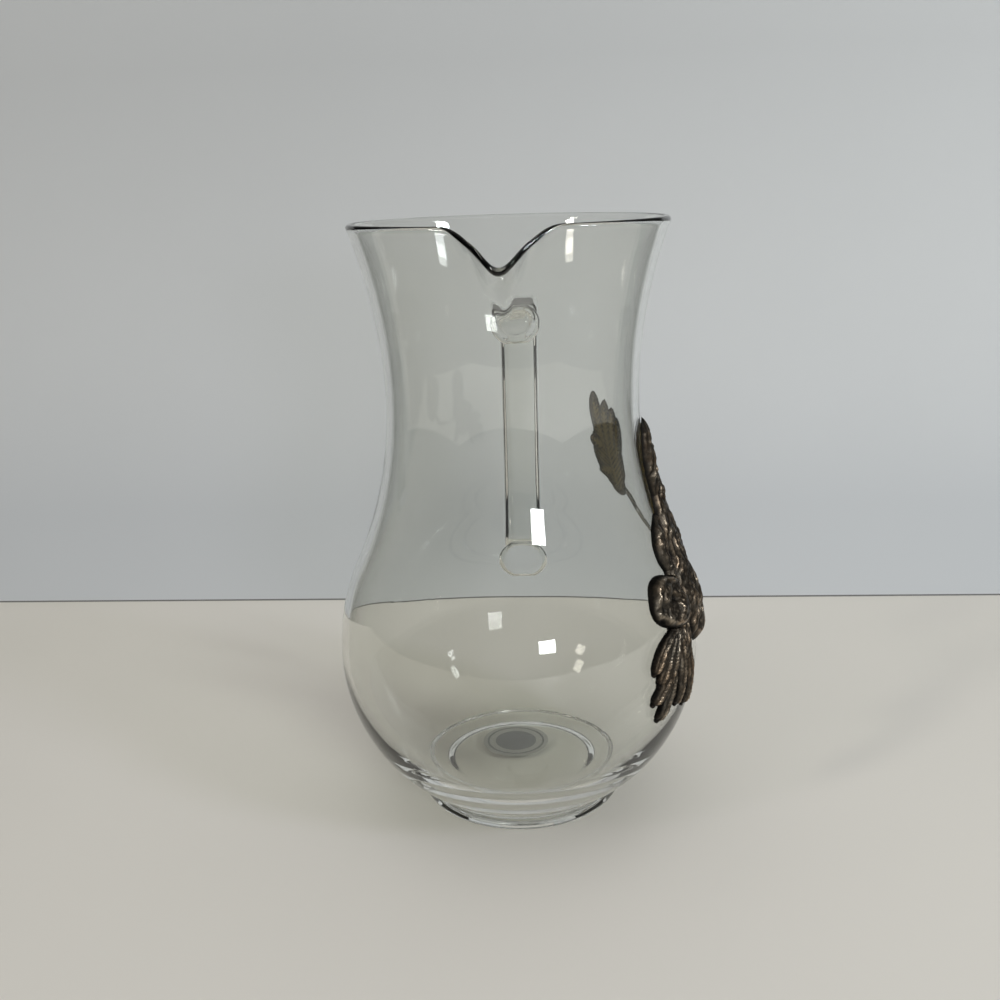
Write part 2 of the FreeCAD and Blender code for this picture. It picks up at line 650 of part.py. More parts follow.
def spray_route(places):
    """A smooth route over the wall, through places on the spray."""
    curve = Part.BSplineCurve()
    curve.interpolate([Vector(*spray_place(place), 0) for place in places])

    def at(share):
        point = curve.value(curve.FirstParameter + (curve.LastParameter - curve.FirstParameter) * share)
        return point.x, point.y
    return at


def wall_frame(route, share):
    """Place on the wall, direction across the route and outward normal, at a share of a route."""
    nudge_share = 0.01
    low, high = max(share - nudge_share, 0.0), min(share + nudge_share, 1.0)
    along = wall_place(*route(high)) - wall_place(*route(low))
    outward = wall_normal(*route(share))
    return wall_place(*route(share)), along.cross(outward).normalize(), outward


def arched_section(foot, across, outward, half_width, relief):
    """A section of a lobe: an arch over the wall on a straight base inside it."""
    base = outward * -size("root_depth")
    left, right = foot - across * half_width + base, foot + across * half_width + base
    return Part.Wire([Part.Arc(left, foot + outward * relief, right).toShape(),
                      Part.LineSegment(right, left).toShape()])


def lobe(places, width, relief, taper_shares=LOBE_TAPER_SHARES):
    """A long rounded lobe on the wall, widest about its middle and drawn in at its tip."""
    route = spray_route(places)
    return Part.makeLoft([arched_section(*wall_frame(route, share), width / 2 * taper, relief * taper)
                          for share, taper in taper_shares], True)


def taper_at(shares, share):
    """Value of an evenly spread table of shares."""
    place = share * (len(shares) - 1)
    index = min(int(place), len(shares) - 2)
    return shares[index] + (shares[index + 1] - shares[index]) * (place - index)


def strand(places, phase):
    """One strand of the branch, swinging from side to side of its route."""
    route = spray_route(places)
    sections = []
    for step in range(STRAND_STATIONS):
        share = step / (STRAND_STATIONS - 1)
        taper = taper_at(BRANCH_TAPER_SHARES, share)
        foot, across, outward = wall_frame(route, share)
        swing = size("strand_swing") * taper * math.sin(2 * math.pi * STRAND_TURNS * share + phase)
        sections.append(arched_section(foot + across * swing, across, outward, size("strand_width") / 2 * taper,
                                       size("strand_relief") * taper))
    return Part.makeLoft(sections, True)


def cast(name, solids, over=()):
    """A casting: its solids in one, cut back to the castings that lie over it and to its bed of glue."""
    blank = solids[0].fuse(solids[1:], size("cast_tolerance")) if len(solids) > 1 else solids[0]
    if over:
        blank = blank.cut([blanks[other] for other in over])
    blanks[name] = blank
    beds.append(blank.common(bed_shell))
    casting = doc.addObject("Part::Feature", name)
    casting.Shape = blank.cut(bed_core)
    return casting


def rounded_square(centre, across, up):
    """A closed curve between an oval and an oblong, with its half sizes along two directions."""
    def eased(share):
        return math.copysign(abs(share)**(2 / FRUIT_SQUARENESS), share)

    curve = Part.BSplineCurve()
    turns = [2 * math.pi * step / FRUIT_CORNERS for step in range(FRUIT_CORNERS)]
    places = [centre + across * eased(math.cos(turn)) + up * eased(math.sin(turn)) for turn in turns]
    curve.interpolate(places, PeriodicFlag=True)
    return Part.Wire(curve.toShape())


def fruit_solid():
    """The fruit: a flattened dome that leans on the wall and runs into it, with two pits in its face."""
    azimuth, level = spray_place(FRUIT_SHARE)
    outward = wall_normal(azimuth, level)
    lean = Rotation(outward, -size("fruit_lean"))
    level_way = Vector(0, 0, 1).cross(outward).normalize()
    across = lean.multVec(level_way) * (size("fruit_width") / 2)
    up = lean.multVec(outward.cross(level_way)) * (size("fruit_height") / 2)
    foot = wall_place(azimuth, level)
    relief, sink = size("fruit_relief"), size("fruit_sink")
    dome = Part.makeLoft([rounded_square(foot + outward * ((relief + sink) * rise_share - sink),
                                         across * spread_share, up * spread_share)
                          for rise_share, spread_share in FRUIT_DOME_SHARES], True)
    return dome.cut([Part.makeSphere(size("pit_radius"), foot + across * x + up * y + outward * relief)
                     for x, y in FRUIT_PIT_SHARES])


fruit = cast("fruit", [fruit_solid()])
branch = cast("branch", [strand(BRANCH_SHARES, 0.0), strand(BRANCH_SHARES, math.pi),
                         lobe(BRANCH_SPUR_SHARES, size("spur_width"), size("spur_relief"))], ["fruit"])
stem_leaf = cast("stem_leaf", [lobe(STEM_LEAF_SHARES, size("stem_leaf_width"), size("stem_leaf_relief"))],
                 ["branch"])
side_bud = cast("side_bud", [lobe(BUD_SHARES, size("bud_width"), size("bud_relief"))], ["branch", "fruit"])
lower_leaf = cast("lower_leaf",
                  [lobe(places, size("finger_width"), size("finger_relief"), FINGER_TAPER_SHARES)
                   for places in FINGER_SHARES],
                  ["branch", "fruit", "stem_leaf"])
upper_leaf = cast("upper_leaf",
                  [lobe(LEAF_PALM_SHARES, size("leaf_palm_width"), size("leaf_relief")),
                   lobe(LEAF_STALK_SHARES, size("leaf_stalk_width"), size("leaf_stalk_relief"))]
                  + [lobe(places, size("leaf_lobe_width"), size("leaf_relief")) for places in LEAF_LOBE_SHARES],
                  ["branch"])

adhesive = doc.addObject("Part::Feature", "adhesive")
adhesive.Shape = Part.makeCompound([solid for bed in beds for solid in bed.Solids])


# Label: a thin round sticker in the hollow of the underside, off the axis.

base_label = doc.addObject("Part::Cylinder", "base_label")
base_label.setExpression("Radius", "sizes.label_radius")
base_label.setExpression("Height", "sizes.label_thickness")
base_label.setExpression("Placement.Base.x", "sizes.label_shift_x")
base_label.setExpression("Placement.Base.y", "sizes.label_shift_y")
base_label.setExpression("Placement.Base.z",
                         "sizes.kick_depth - sizes.label_clearance - sizes.label_thickness")
doc.recompute()


# Tests and files

for thing in doc.Objects:
    if {"Invalid", "Error"} & set(thing.State):
        raise RuntimeError(f"{thing.Label} did not build: {thing.State}")

sub_parts = [glass_body, handle, branch, upper_leaf, side_bud, fruit, lower_leaf, stem_leaf, adhesive, base_label]
for sub_part in sub_parts:
    shape = sub_part.Shape
    if shape.isNull() or not shape.isValid() or not shape.Solids:
        raise RuntimeError(f"{sub_part.Label} is not a sound solid")
    print(f"{sub_part.Label}: {len(shape.Solids)} solid(s), {shape.Volume:.1f} cubic millimetres")

os.makedirs("parts", exist_ok=True)
for sub_part in sub_parts:
    sub_part.Shape.exportStep(f"parts/{sub_part.Label}.step")
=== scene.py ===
import math

import bpy
import numpy as np
from mathutils import Matrix, Vector


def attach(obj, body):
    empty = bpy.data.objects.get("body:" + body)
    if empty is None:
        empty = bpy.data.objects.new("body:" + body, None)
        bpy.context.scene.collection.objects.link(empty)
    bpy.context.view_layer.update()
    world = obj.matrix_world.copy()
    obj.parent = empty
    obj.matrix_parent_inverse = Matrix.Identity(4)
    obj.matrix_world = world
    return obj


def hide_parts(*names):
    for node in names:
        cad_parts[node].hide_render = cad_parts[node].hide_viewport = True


# A clear glass pitcher with a solid glass handle and a cast metal spray on its side, dressed over its CAD model.
# Shapes are worked out in millimetres and degrees, in the CAD model's frame: +Z up, the spout at -Y, the handle
# at +Y and the spray at +X. An azimuth is measured about the vessel's axis, from the spout towards the spray.
# Lamps and the camera are placed in metres.

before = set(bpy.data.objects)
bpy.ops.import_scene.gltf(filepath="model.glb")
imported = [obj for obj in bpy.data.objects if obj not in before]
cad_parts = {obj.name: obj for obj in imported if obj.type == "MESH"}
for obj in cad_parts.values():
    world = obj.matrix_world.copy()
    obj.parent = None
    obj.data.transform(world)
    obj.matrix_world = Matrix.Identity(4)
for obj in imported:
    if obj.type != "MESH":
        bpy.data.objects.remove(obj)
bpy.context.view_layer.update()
MM = 0.001


# Vessel: the outside is four arcs, as in the CAD model.

HEIGHT = 240.0
RIM_RADIUS = 62.2
WAIST_RADIUS, WAIST_HEIGHT, WAIST_CURVE = 50.4, 174.0, 161.0
BELLY_RADIUS, BELLY_HEIGHT = 75.0, 66.0
FOOT_RADIUS, FOOT_HEIGHT, FOOT_ROUND, FOOT_BLEND = 43.4, 6.2, 1.6, 2.0
WALL = 2.5
FLOOR_RADIUS, FLOOR_HEIGHT, FLOOR_BLEND = 39.0, 11.0, 6.0
KICK_RADIUS, KICK_DEPTH, KICK_BLEND = 33.5, 3.0, 3.0
NECK_HEIGHT = 197.0
LIP_THICKNESS = 3.0
SPOUT_HALF_ANGLE, SPOUT_DIP, SPOUT_REACH = 17.5, 12.5, 13.0
SPOUT_FALL_SHARE = 0.4
SPOUT_FADE_SHARES = (0.5, 1.2)


def upright_curve(run, rise):
    """Radius of an arc that is upright at one end and moves by run over a height of rise."""
    return (run**2 + rise**2) / (2 * run)


LOWER_CURVE = upright_curve(BELLY_RADIUS - FOOT_RADIUS, BELLY_HEIGHT - FOOT_HEIGHT)
RIM_CURVE = upright_curve(RIM_RADIUS - WAIST_RADIUS, HEIGHT - WAIST_HEIGHT)
WAIST_RISE = WAIST_HEIGHT - BELLY_HEIGHT
WAIST_OFFSET = WAIST_RADIUS + WAIST_CURVE - BELLY_RADIUS
UPPER_CURVE = (WAIST_OFFSET**2 + WAIST_RISE**2 - WAIST_CURVE**2) / (2 * (WAIST_CURVE - WAIST_OFFSET))
LOWER_HUB = (BELLY_RADIUS - LOWER_CURVE, BELLY_HEIGHT)
UPPER_HUB = (BELLY_RADIUS - UPPER_CURVE, BELLY_HEIGHT)
WAIST_HUB = (WAIST_RADIUS + WAIST_CURVE, WAIST_HEIGHT)
RIM_HUB = (WAIST_RADIUS + RIM_CURVE, WAIST_HEIGHT)
TURN_HEIGHT = BELLY_HEIGHT + WAIST_RISE * UPPER_CURVE / (UPPER_CURVE + WAIST_CURVE)


def outside(height, offset=0.0):
    """Radius of the outside at heights, or of a surface that stands off it by a distance."""
    z = np.asarray(height, float)

    def across(curve, hub):
        return np.sqrt(np.maximum(curve**2 - (z - hub[1])**2, 0.0))
    return np.select(
        [z < BELLY_HEIGHT, z < TURN_HEIGHT, z < WAIST_HEIGHT],
        [LOWER_HUB[0] + across(LOWER_CURVE + offset, LOWER_HUB),
         UPPER_HUB[0] + across(UPPER_CURVE + offset, UPPER_HUB),
         WAIST_HUB[0] - across(WAIST_CURVE - offset, WAIST_HUB)],
        RIM_HUB[0] - across(RIM_CURVE - offset, RIM_HUB))


def in_space(azimuth, radius, height):
    """Points from azimuths, radii and heights."""
    angle = np.radians(azimuth)
    return np.stack(np.broadcast_arrays(radius * np.sin(angle), -radius * np.cos(angle), height), axis=-1)


def wall_normal(azimuth, height):
    """Outward normals of the outside."""
    step = 0.01
    slope = (outside(height + step) - outside(height - step)) / (2 * step)
    length = np.sqrt(1 + slope**2)
    return in_space(azimuth, 1 / length, -slope / length)


def on_wall(azimuth, height, lift):
    """Points that stand off the outside by a distance."""
    return in_space(azimuth, outside(height), height) + wall_normal(azimuth, height) * np.asarray(lift)[..., None]


# Pieces and materials

def add_node(tree, kind, inputs=None, **settings):
    """A node with its settings. Its inputs are linked to other nodes' outputs or set to values."""
    made = tree.nodes.new(kind)
    for name, value in settings.items():
        setattr(made, name, value)
    for name, value in (inputs or {}).items():
        if isinstance(value, bpy.types.NodeSocket):
            tree.links.new(value, made.inputs[name])
        else:
            made.inputs[name].default_value = value
    return made


def new_material(name, shader_of, *details):
    """A material whose surface is what a function makes in its node tree."""
    material = bpy.data.materials.new(name)
    material.use_nodes = True
    tree = material.node_tree
    tree.nodes.clear()
    add_node(tree, "ShaderNodeOutputMaterial", {"Surface": shader_of(tree, *details)})
    return material


def principled(tree, inputs):
    """A principled shader."""
    return add_node(tree, "ShaderNodeBsdfPrincipled", inputs).outputs["BSDF"]


def colour_ramp(tree, factor, stops):
    """A colour ramp over (place, colour) stops."""
    ramp = add_node(tree, "ShaderNodeValToRGB", {"Fac": factor})
    elements = ramp.color_ramp.elements
    while len(elements) < len(stops):
        elements.new(0.5)
    for element, (place, colour) in zip(elements, stops):
        element.position = place
        element.color = (*colour, 1.0)
    return ramp.outputs["Color"]


def noise_of(tree, scale, detail=3.0):
    """Noise over the object's own coordinates, with scale in turns per metre."""
    place = add_node(tree, "ShaderNodeTexCoord").outputs["Object"]
    return add_node(tree, "ShaderNodeTexNoise", {
        "Vector": place, "Scale": scale, "Detail": detail, "Roughness": 0.55}).outputs["Fac"]


def varied_colour(tree, scale, tones):
    """A colour that varies slowly between two tones."""
    low, high = tones
    return colour_ramp(tree, noise_of(tree, scale), ((0.3, low), (0.7, high)))


def noisy_attribute(tree, name, noise, share):
    """A value of the mesh's points with a share of noise added."""
    value = add_node(tree, "ShaderNodeAttribute", attribute_name=name).outputs["Fac"]
    return add_node(tree, "ShaderNodeMath", {0: noise, 1: share, 2: value}, operation="MULTIPLY_ADD").outputs[0]


def product_of(tree, first, second):
    """Two colours multiplied."""
    return add_node(tree, "ShaderNodeMix", {"Factor": 1.0, "A": first, "B": second},
                    data_type="RGBA", blend_type="MULTIPLY").outputs["Result"]


def clear_where(tree, factor, shader, tint=(1.0, 1.0, 1.0, 1.0)):
    """A shader that gives way to a clear tint where a factor is 1."""
    clear = add_node(tree, "ShaderNodeBsdfTransparent", {"Color": tint}).outputs["BSDF"]
    return add_node(tree, "ShaderNodeMixShader", {"Fac": factor, 1: shader, 2: clear}).outputs["Shader"]


def bump_of(tree, height, strength, distance):
    """Normals bent by a height, with distance in metres."""
    return add_node(tree, "ShaderNodeBump", {
        "Strength": strength, "Distance": distance, "Height": height}).outputs["Normal"]


GLASS_TINT = (0.915, 0.92, 0.895, 1.0)
RIPPLE_SCALE = 38.0


def glass_shader(tree):
    """Clear glass with a faint grey-green tint and the slow ripple of blown glass. Lamps shine through it."""
    ripple = noise_of(tree, RIPPLE_SCALE, detail=1.0)
    glass = principled(tree, {
        "Base Color": GLASS_TINT, "Roughness": 0.0, "IOR": 1.5, "Transmission Weight": 1.0,
        "Normal": bump_of(tree, ripple, strength=0.06, distance=0.001)})
    shadow = add_node(tree, "ShaderNodeLightPath").outputs["Is Shadow Ray"]
    return clear_where(tree, shadow, glass, GLASS_TINT)


def weld_shader(tree):
    """The weld of the handle to the wall: glass runs on into glass there, so nothing shows."""
    return add_node(tree, "ShaderNodeBsdfTransparent").outputs["BSDF"]


# Metal tones from hollows to ridges: the near-black of the hollows is painted shade, and the bright tone of the
# ridges is rubbed wear.
METAL_TONES = (
    (0.08, (0.006, 0.005, 0.004)), (0.38, (0.044, 0.035, 0.026)), (0.56, (0.092, 0.072, 0.053)),
    (0.88, (0.42, 0.33, 0.245)))
PATINA_TONES = ((0.35, (1.0, 0.93, 0.84)), (0.65, (0.86, 0.92, 0.95)))
METAL_ROUGHNESS = {"From Min": 0.1, "From Max": 0.9, "To Min": 0.55, "To Max": 0.24}
GRAIN_SCALE, GRAIN_SHARE, PATINA_SCALE = 900.0, 0.55, 120.0


def metal_shader(tree):
    """Aged cast metal: brown-grey on its faces, rubbed bright on its ridges by wear, and made nearly black in its
    hollows by painted shade.
    """
    grain = noise_of(tree, GRAIN_SCALE, detail=4.0)
    wear_and_shade = add_node(tree, "ShaderNodeMath", {
        0: noisy_attribute(tree, "wear_and_shade", grain, GRAIN_SHARE), 1: GRAIN_SHARE / 2}, operation="SUBTRACT").outputs[0]
    patina = colour_ramp(tree, noise_of(tree, PATINA_SCALE), PATINA_TONES)
    return principled(tree, {
        "Metallic": 0.85,
        "Base Color": product_of(tree, colour_ramp(tree, wear_and_shade, METAL_TONES), patina),
        "Roughness": add_node(tree, "ShaderNodeMapRange", {"Value": wear_and_shade, **METAL_ROUGHNESS}).outputs["Result"],
        "Normal": bump_of(tree, grain, strength=0.35, distance=0.0004)})


GLUE_TONES = ((0.35, (0.012, 0.010, 0.008)), (0.75, (0.13, 0.10, 0.045)), (1.0, (0.36, 0.28, 0.12)))
CLOUD_SCALE, CLOUD_SHARE = 160.0, 0.45


def glue_shader(tree):
    """Cured glue seen through the wall: olive-brown where it is thick, and dark towards its margin."""
    cloud = noise_of(tree, CLOUD_SCALE, detail=4.0)
    return principled(tree, {
        "Roughness": 0.5, "Specular IOR Level": 0.2,
        "Base Color": colour_ramp(tree, noisy_attribute(tree, "depth", cloud, CLOUD_SHARE), GLUE_TONES),
        "Normal": bump_of(tree, cloud, strength=0.3, distance=0.0005)})


FILM_SCALE = 700.0
FILM_TONES = ((0.30, 0.295, 0.27), (0.36, 0.355, 0.33))
PRINT_TONES = ((0.035, 0.036, 0.042), (0.060, 0.061, 0.068))


def film_shader(tree, tones):
    """Thin printed film in a colour that varies slightly."""
    return principled(tree, {"Roughness": 0.45, "Base Color": varied_colour(tree, FILM_SCALE, tones)})


GLASS, WELD = new_material("clear_glass", glass_shader), new_material("glass_weld", weld_shader)
METAL, GLUE = new_material("aged_cast_metal", metal_shader), new_material("cured_glue", glue_shader)
FILM = new_material("label_film", film_shader, FILM_TONES)
PRINT = new_material("label_print", film_shader, PRINT_TONES)


def new_piece(name, points, faces, materials, slots=None, attribute=None):
    """A smooth mesh from points in millimetres, with a material slot per face and a value per point."""
    mesh = bpy.data.meshes.new(name)
    mesh.from_pydata((np.asarray(points, float) * MM).tolist(), [], faces)
    for material in materials:
        mesh.materials.append(material)
    if slots is not None:
        mesh.polygons.foreach_set("material_index", np.asarray(slots, np.int32))
    if attribute:
        label, values = attribute
        mesh.attributes.new(label, "FLOAT", "POINT").data.foreach_set("value", np.asarray(values, np.float32))
    mesh.shade_smooth()
    mesh.update()
    piece = bpy.data.objects.new(name, mesh)
    bpy.context.scene.collection.objects.link(piece)
    return piece


def dress(piece, node):
    """The piece rides on the root body in place of a CAD node, which is hidden."""
    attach(piece, "root")
    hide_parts(node)


# Curves in the plane of the axis. A place on them is a radius and a height.

SECTION_SPACING, SEAT_SPACING = 1.5, 0.6


def arc_points(hub, start, end, spacing=SECTION_SPACING):
    """Places along the short arc about a hub, from start up to and not including end."""
    first = math.atan2(start[1] - hub[1], start[0] - hub[0])
    turn = math.remainder(math.atan2(end[1] - hub[1], end[0] - hub[0]) - first, 2 * math.pi)
    radius = math.dist(hub, start)
    count = max(int(abs(turn) * radius / spacing), 4)
    angles = first + turn * np.arange(count) / count
    return np.stack([hub[0] + radius * np.cos(angles), hub[1] + radius * np.sin(angles)], axis=-1)


def line_points(start, end, spacing=SECTION_SPACING):
    """Places along a line, from start up to and not including end."""
    count = max(int(math.dist(start, end) / spacing), 1)
    return np.linspace(start, end, count, endpoint=False)


# Handle: a strap along a bent spine in the plane of the axis, flared at each end into a seat that is welded to the
# wall inside a beaded collar.

STRAP_WIDTH, STRAP_THICKNESS, STRAP_ROUND = 18.5, 11.0, 4.5
UPPER_SEAT_HEIGHT, LOWER_SEAT_HEIGHT = 194.3, 74.4
HANDLE_REACH, HANDLE_RISE, HANDLE_LEAN, HANDLE_DROP = 91.0, 14.5, 2.0, 22.0
UPPER_BEND, LOWER_BEND = 22.0, 45.0
SEAT_CLEARANCE = 0.05
SPINE_CORNERS = (
    (WAIST_RADIUS - STRAP_THICKNESS / 2, UPPER_SEAT_HEIGHT),
    (HANDLE_REACH, UPPER_SEAT_HEIGHT + HANDLE_RISE),
    (HANDLE_REACH - HANDLE_LEAN, LOWER_SEAT_HEIGHT + HANDLE_DROP),
    (BELLY_RADIUS - STRAP_THICKNESS, LOWER_SEAT_HEIGHT - STRAP_THICKNESS),
)
UPPER_SEAT = {"centre": UPPER_SEAT_HEIGHT, "width": 21.5, "height": 19.5}
LOWER_SEAT = {"centre": LOWER_SEAT_HEIGHT, "width": 24.5, "height": 20.5}


def rounded_path(corners, bends, spacing):
    """Places along straight runs whose corners are rounded by arcs."""
    corners = np.array(corners)
    place, runs = corners[0], []
    for before, corner, after, bend in zip(corners, corners[1:], corners[2:], bends):
        towards = [(end - corner) / np.linalg.norm(end - corner) for end in (before, after)]
        half = math.acos(towards[0] @ towards[1]) / 2
        middle = (towards[0] + towards[1]) / np.linalg.norm(towards[0] + towards[1])
        start, end = [corner + way * bend / math.tan(half) for way in towards]
        hub = corner + middle * bend / math.sin(half)
        runs += [line_points(place, start, spacing), arc_points(hub, start, end, spacing)]
        place = end
    return np.concatenate([*runs, line_points(place, corners[-1], spacing), corners[-1:]])


CORNER_POINTS = 16


def strap_section():
    """The rounded oblong of the strap as (across, thick) places, counter-clockwise from its right side."""
    flat, rise = STRAP_WIDTH / 2 - STRAP_ROUND, STRAP_THICKNESS / 2 - STRAP_ROUND
    angles = np.radians([np.linspace(first, first + 90, CORNER_POINTS) for first in (0, 90, 180, 270)])
    across = STRAP_ROUND * np.cos(angles) + np.array([flat, -flat, -flat, flat])[:, None]
    thick = STRAP_ROUND * np.sin(angles) + np.array([rise, rise, -rise, -rise])[:, None]
    return np.stack([across.ravel(), thick.ravel()], axis=-1)


def on_back(x, height, offset):
    """Points at the back of a surface that stands off the outside by a distance."""
    return np.stack([x, np.sqrt(outside(height, offset)**2 - x**2), height], axis=-1)


def seat_ring(seat, angles, share=1.0):
    """Points of a seat's outline on the wall, drawn in to a share of its size."""
    across = seat["width"] / 2 * share * np.cos(angles)
    height = seat["centre"] + seat["height"] / 2 * share * np.sin(angles)
    return on_back(across, height, SEAT_CLEARANCE)


# A seat is a flat weld, which is a share of the seat's size, a bead that stands off the wall round it, and a flare
# from the bead to the strap.
HANDLE_AZIMUTH = 180.0
WELD_SHARE = 0.80
CAP_SHARES = (0.77, 0.65, 0.5, 0.3, 0.15)
SEAT_REACH = 6.4
FLARE_RINGS = 14
FLARE_PULL, STRAP_PULL = 3.0, 9.0
BEAD_RADIUS, BEAD_HEIGHT, BEAD_SHARE = 1.8, 1.95, 0.175
BEAD_TURNS = np.radians(np.linspace(-75, 105, 13))
COLLAR_EDGE = [(0.0, WELD_SHARE)] + [
    (BEAD_HEIGHT + BEAD_RADIUS * math.sin(turn), 1 - BEAD_SHARE + BEAD_SHARE * math.cos(turn)) for turn in BEAD_TURNS]
PATH_SPACING = 1.6


def handle_mesh():
    """Rings of points from the middle of the upper seat along the strap to the middle of the lower seat."""
    path = rounded_path(SPINE_CORNERS, (UPPER_BEND, LOWER_BEND), PATH_SPACING)
    free = np.nonzero(path[:, 0] - outside(path[:, 1]) > SEAT_REACH)[0]
    path = path[free[0]:free[-1] + 1]
    tangent = np.gradient(path, axis=0)
    tangent /= np.linalg.norm(tangent, axis=1)[:, None]
    section = strap_section()
    up = np.stack([-tangent[:, 1], tangent[:, 0]], axis=-1)
    strap = np.empty((len(path), len(section), 3))
    strap[..., 0] = section[:, 0]
    strap[..., 1:] = path[:, None] + section[:, 1:] * up[:, None]
    angles = np.arctan2(section[:, 1] / STRAP_THICKNESS, section[:, 0] / STRAP_WIDTH)

    def flare(seat, strap_ring, way, turn):
        """Rings from the middle of a seat out to its rounded collar and on to the strap."""
        lift = wall_normal(HANDLE_AZIMUTH, np.array(seat["centre"]))
        made = [seat_ring(seat, angles * turn, share) for share in reversed(CAP_SHARES)]
        made += [seat_ring(seat, angles * turn, share) + lift * height for height, share in COLLAR_EDGE]
        collar = made[-1]
        inward = collar.mean(axis=0) - collar
        inward /= np.linalg.norm(inward, axis=1)[:, None]
        for step in range(1, FLARE_RINGS):
            t = step / FLARE_RINGS
            ease = [2 * t**3 - 3 * t**2 + 1, t**3 - 2 * t**2 + t, 3 * t**2 - 2 * t**3, t**3 - t**2]
            made.append(collar * ease[0] + inward * FLARE_PULL * ease[1] + strap_ring * ease[2]
                        + way * STRAP_PULL * ease[3])
        return made

    upper = flare(UPPER_SEAT, strap[0], np.array([0.0, *tangent[0]]), 1)
    lower = flare(LOWER_SEAT, strap[-1], np.array([0.0, *-tangent[-1]]), -1)
    return np.array([*upper, *strap, *reversed(lower)])


def quads_between(rings):
    """Quads between closed rings of point numbers."""
    after = np.roll(rings, -1, axis=1)
    return np.stack([rings[:-1], after[:-1], after[1:], rings[1:]], axis=-1).reshape(-1, 4)


def ring_faces(rings, around):
    """Quads between closed rings of points, with one face at each end."""
    index = np.arange(rings * around).reshape(rings, around)
    return [index[0][::-1].tolist(), *quads_between(index).tolist(), index[-1].tolist()]


rings = handle_mesh()
faces = ring_faces(*rings.shape[:2])
weld_faces = 1 + len(CAP_SHARES) * rings.shape[1]
slots = [int(row < weld_faces or row >= len(faces) - weld_faces) for row in range(len(faces))]
handle = new_piece("handle_glass", rings.reshape(-1, 3), faces, [GLASS, WELD], slots)
dress(handle, "handle")


# Glass body: the wall's section at each azimuth, from the middle of the underside, up the outside, over the rim
# and down the inside. Above the neck the section leans out and dips towards the spout.

def bend_between(way, chord):
    """Angle from one direction to another."""
    return math.atan2(way[0] * chord[1] - way[1] * chord[0], way[0] * chord[0] + way[1] * chord[1])


def flaring_points(start, way, end, count):
    """Places along the arc that leaves start along a way and reaches end, both included."""
    chord = np.subtract(end, start)
    bend = bend_between(way, chord)
    share = np.linspace(0.0, 1.0, count)
    reach = np.hypot(*chord) * np.sin(bend * share) / math.sin(bend)
    heading = math.atan2(way[1], way[0]) + bend * share
    return np.stack([start[0] + reach * np.cos(heading), start[1] + reach * np.sin(heading)], axis=-1)


def rising(place):
    """Upward direction of the neck's arcs at a place on one of them."""
    across, along = place[0] - RIM_HUB[0], place[1] - RIM_HUB[1]
    length = math.hypot(across, along)
    return along / length, -across / length


def spout_share(azimuth):
    """Share of the spout's dip and reach at an azimuth."""
    offset = abs(math.remainder(azimuth, 360)) / SPOUT_HALF_ANGLE
    fade = np.interp(offset, SPOUT_FADE_SHARES, (0.0, 1.0))
    return (1 - fade**2 * (3 - 2 * fade)) / (1 + (offset / SPOUT_FALL_SHARE)**2)


NECK_POINT = (float(outside(NECK_HEIGHT)), NECK_HEIGHT)
NECK_INSIDE = (float(outside(NECK_HEIGHT, -WALL)), NECK_HEIGHT)
LIP_POINTS, BEAD_POINTS = 34, 14


def lip_section(azimuth):
    """The wall from the neck over the rim and back, at one azimuth."""
    half = LIP_THICKNESS / 2
    level = HEIGHT - half
    share = spout_share(azimuth)
    root = ((NECK_POINT[0] + NECK_INSIDE[0]) / 2, NECK_HEIGHT)
    rim = (float(outside(level, -half)) + SPOUT_REACH * share, level - SPOUT_DIP * share)
    way = rising(root)
    heading = math.atan2(way[1], way[0]) + 2 * bend_between(way, np.subtract(rim, root))
    bead = heading + np.linspace(-math.pi / 2, math.pi / 2, BEAD_POINTS)
    crest = np.stack([rim[0] + half * np.cos(bead), rim[1] + half * np.sin(bead)], axis=-1)
    outer = flaring_points(NECK_POINT, rising(NECK_POINT), crest[0], LIP_POINTS)
    inner = flaring_points(NECK_INSIDE, rising(NECK_INSIDE), crest[-1], LIP_POINTS)
    return np.concatenate([outer, crest[1:-1], inner[::-1]])


def kick_points():
    """The underside from the axis to the foot ring's edge, with a slope of 45 degrees rounded at both its ends."""
    reach = KICK_BLEND * math.tan(math.pi / 8)
    slant = reach / math.sqrt(2)
    edge = KICK_RADIUS - KICK_DEPTH
    flat_end, slope_start = (edge - reach, KICK_DEPTH), (edge + slant, KICK_DEPTH - slant)
    slope_end, ring_start = (KICK_RADIUS - slant, slant), (KICK_RADIUS + reach, 0)
    return np.concatenate([
        line_points((0, KICK_DEPTH), flat_end, 2 * SECTION_SPACING),
        arc_points((flat_end[0], KICK_DEPTH - KICK_BLEND), flat_end, slope_start, SEAT_SPACING),
        line_points(slope_start, slope_end),
        arc_points((ring_start[0], KICK_BLEND), slope_end, ring_start, SEAT_SPACING),
        line_points(ring_start, (FOOT_RADIUS - FOOT_ROUND, 0)),
    ])


def between(start, end, share):
    """The place at a share of the way from one place to another."""
    return start[0] + (end[0] - start[0]) * share, start[1] + (end[1] - start[1]) * share


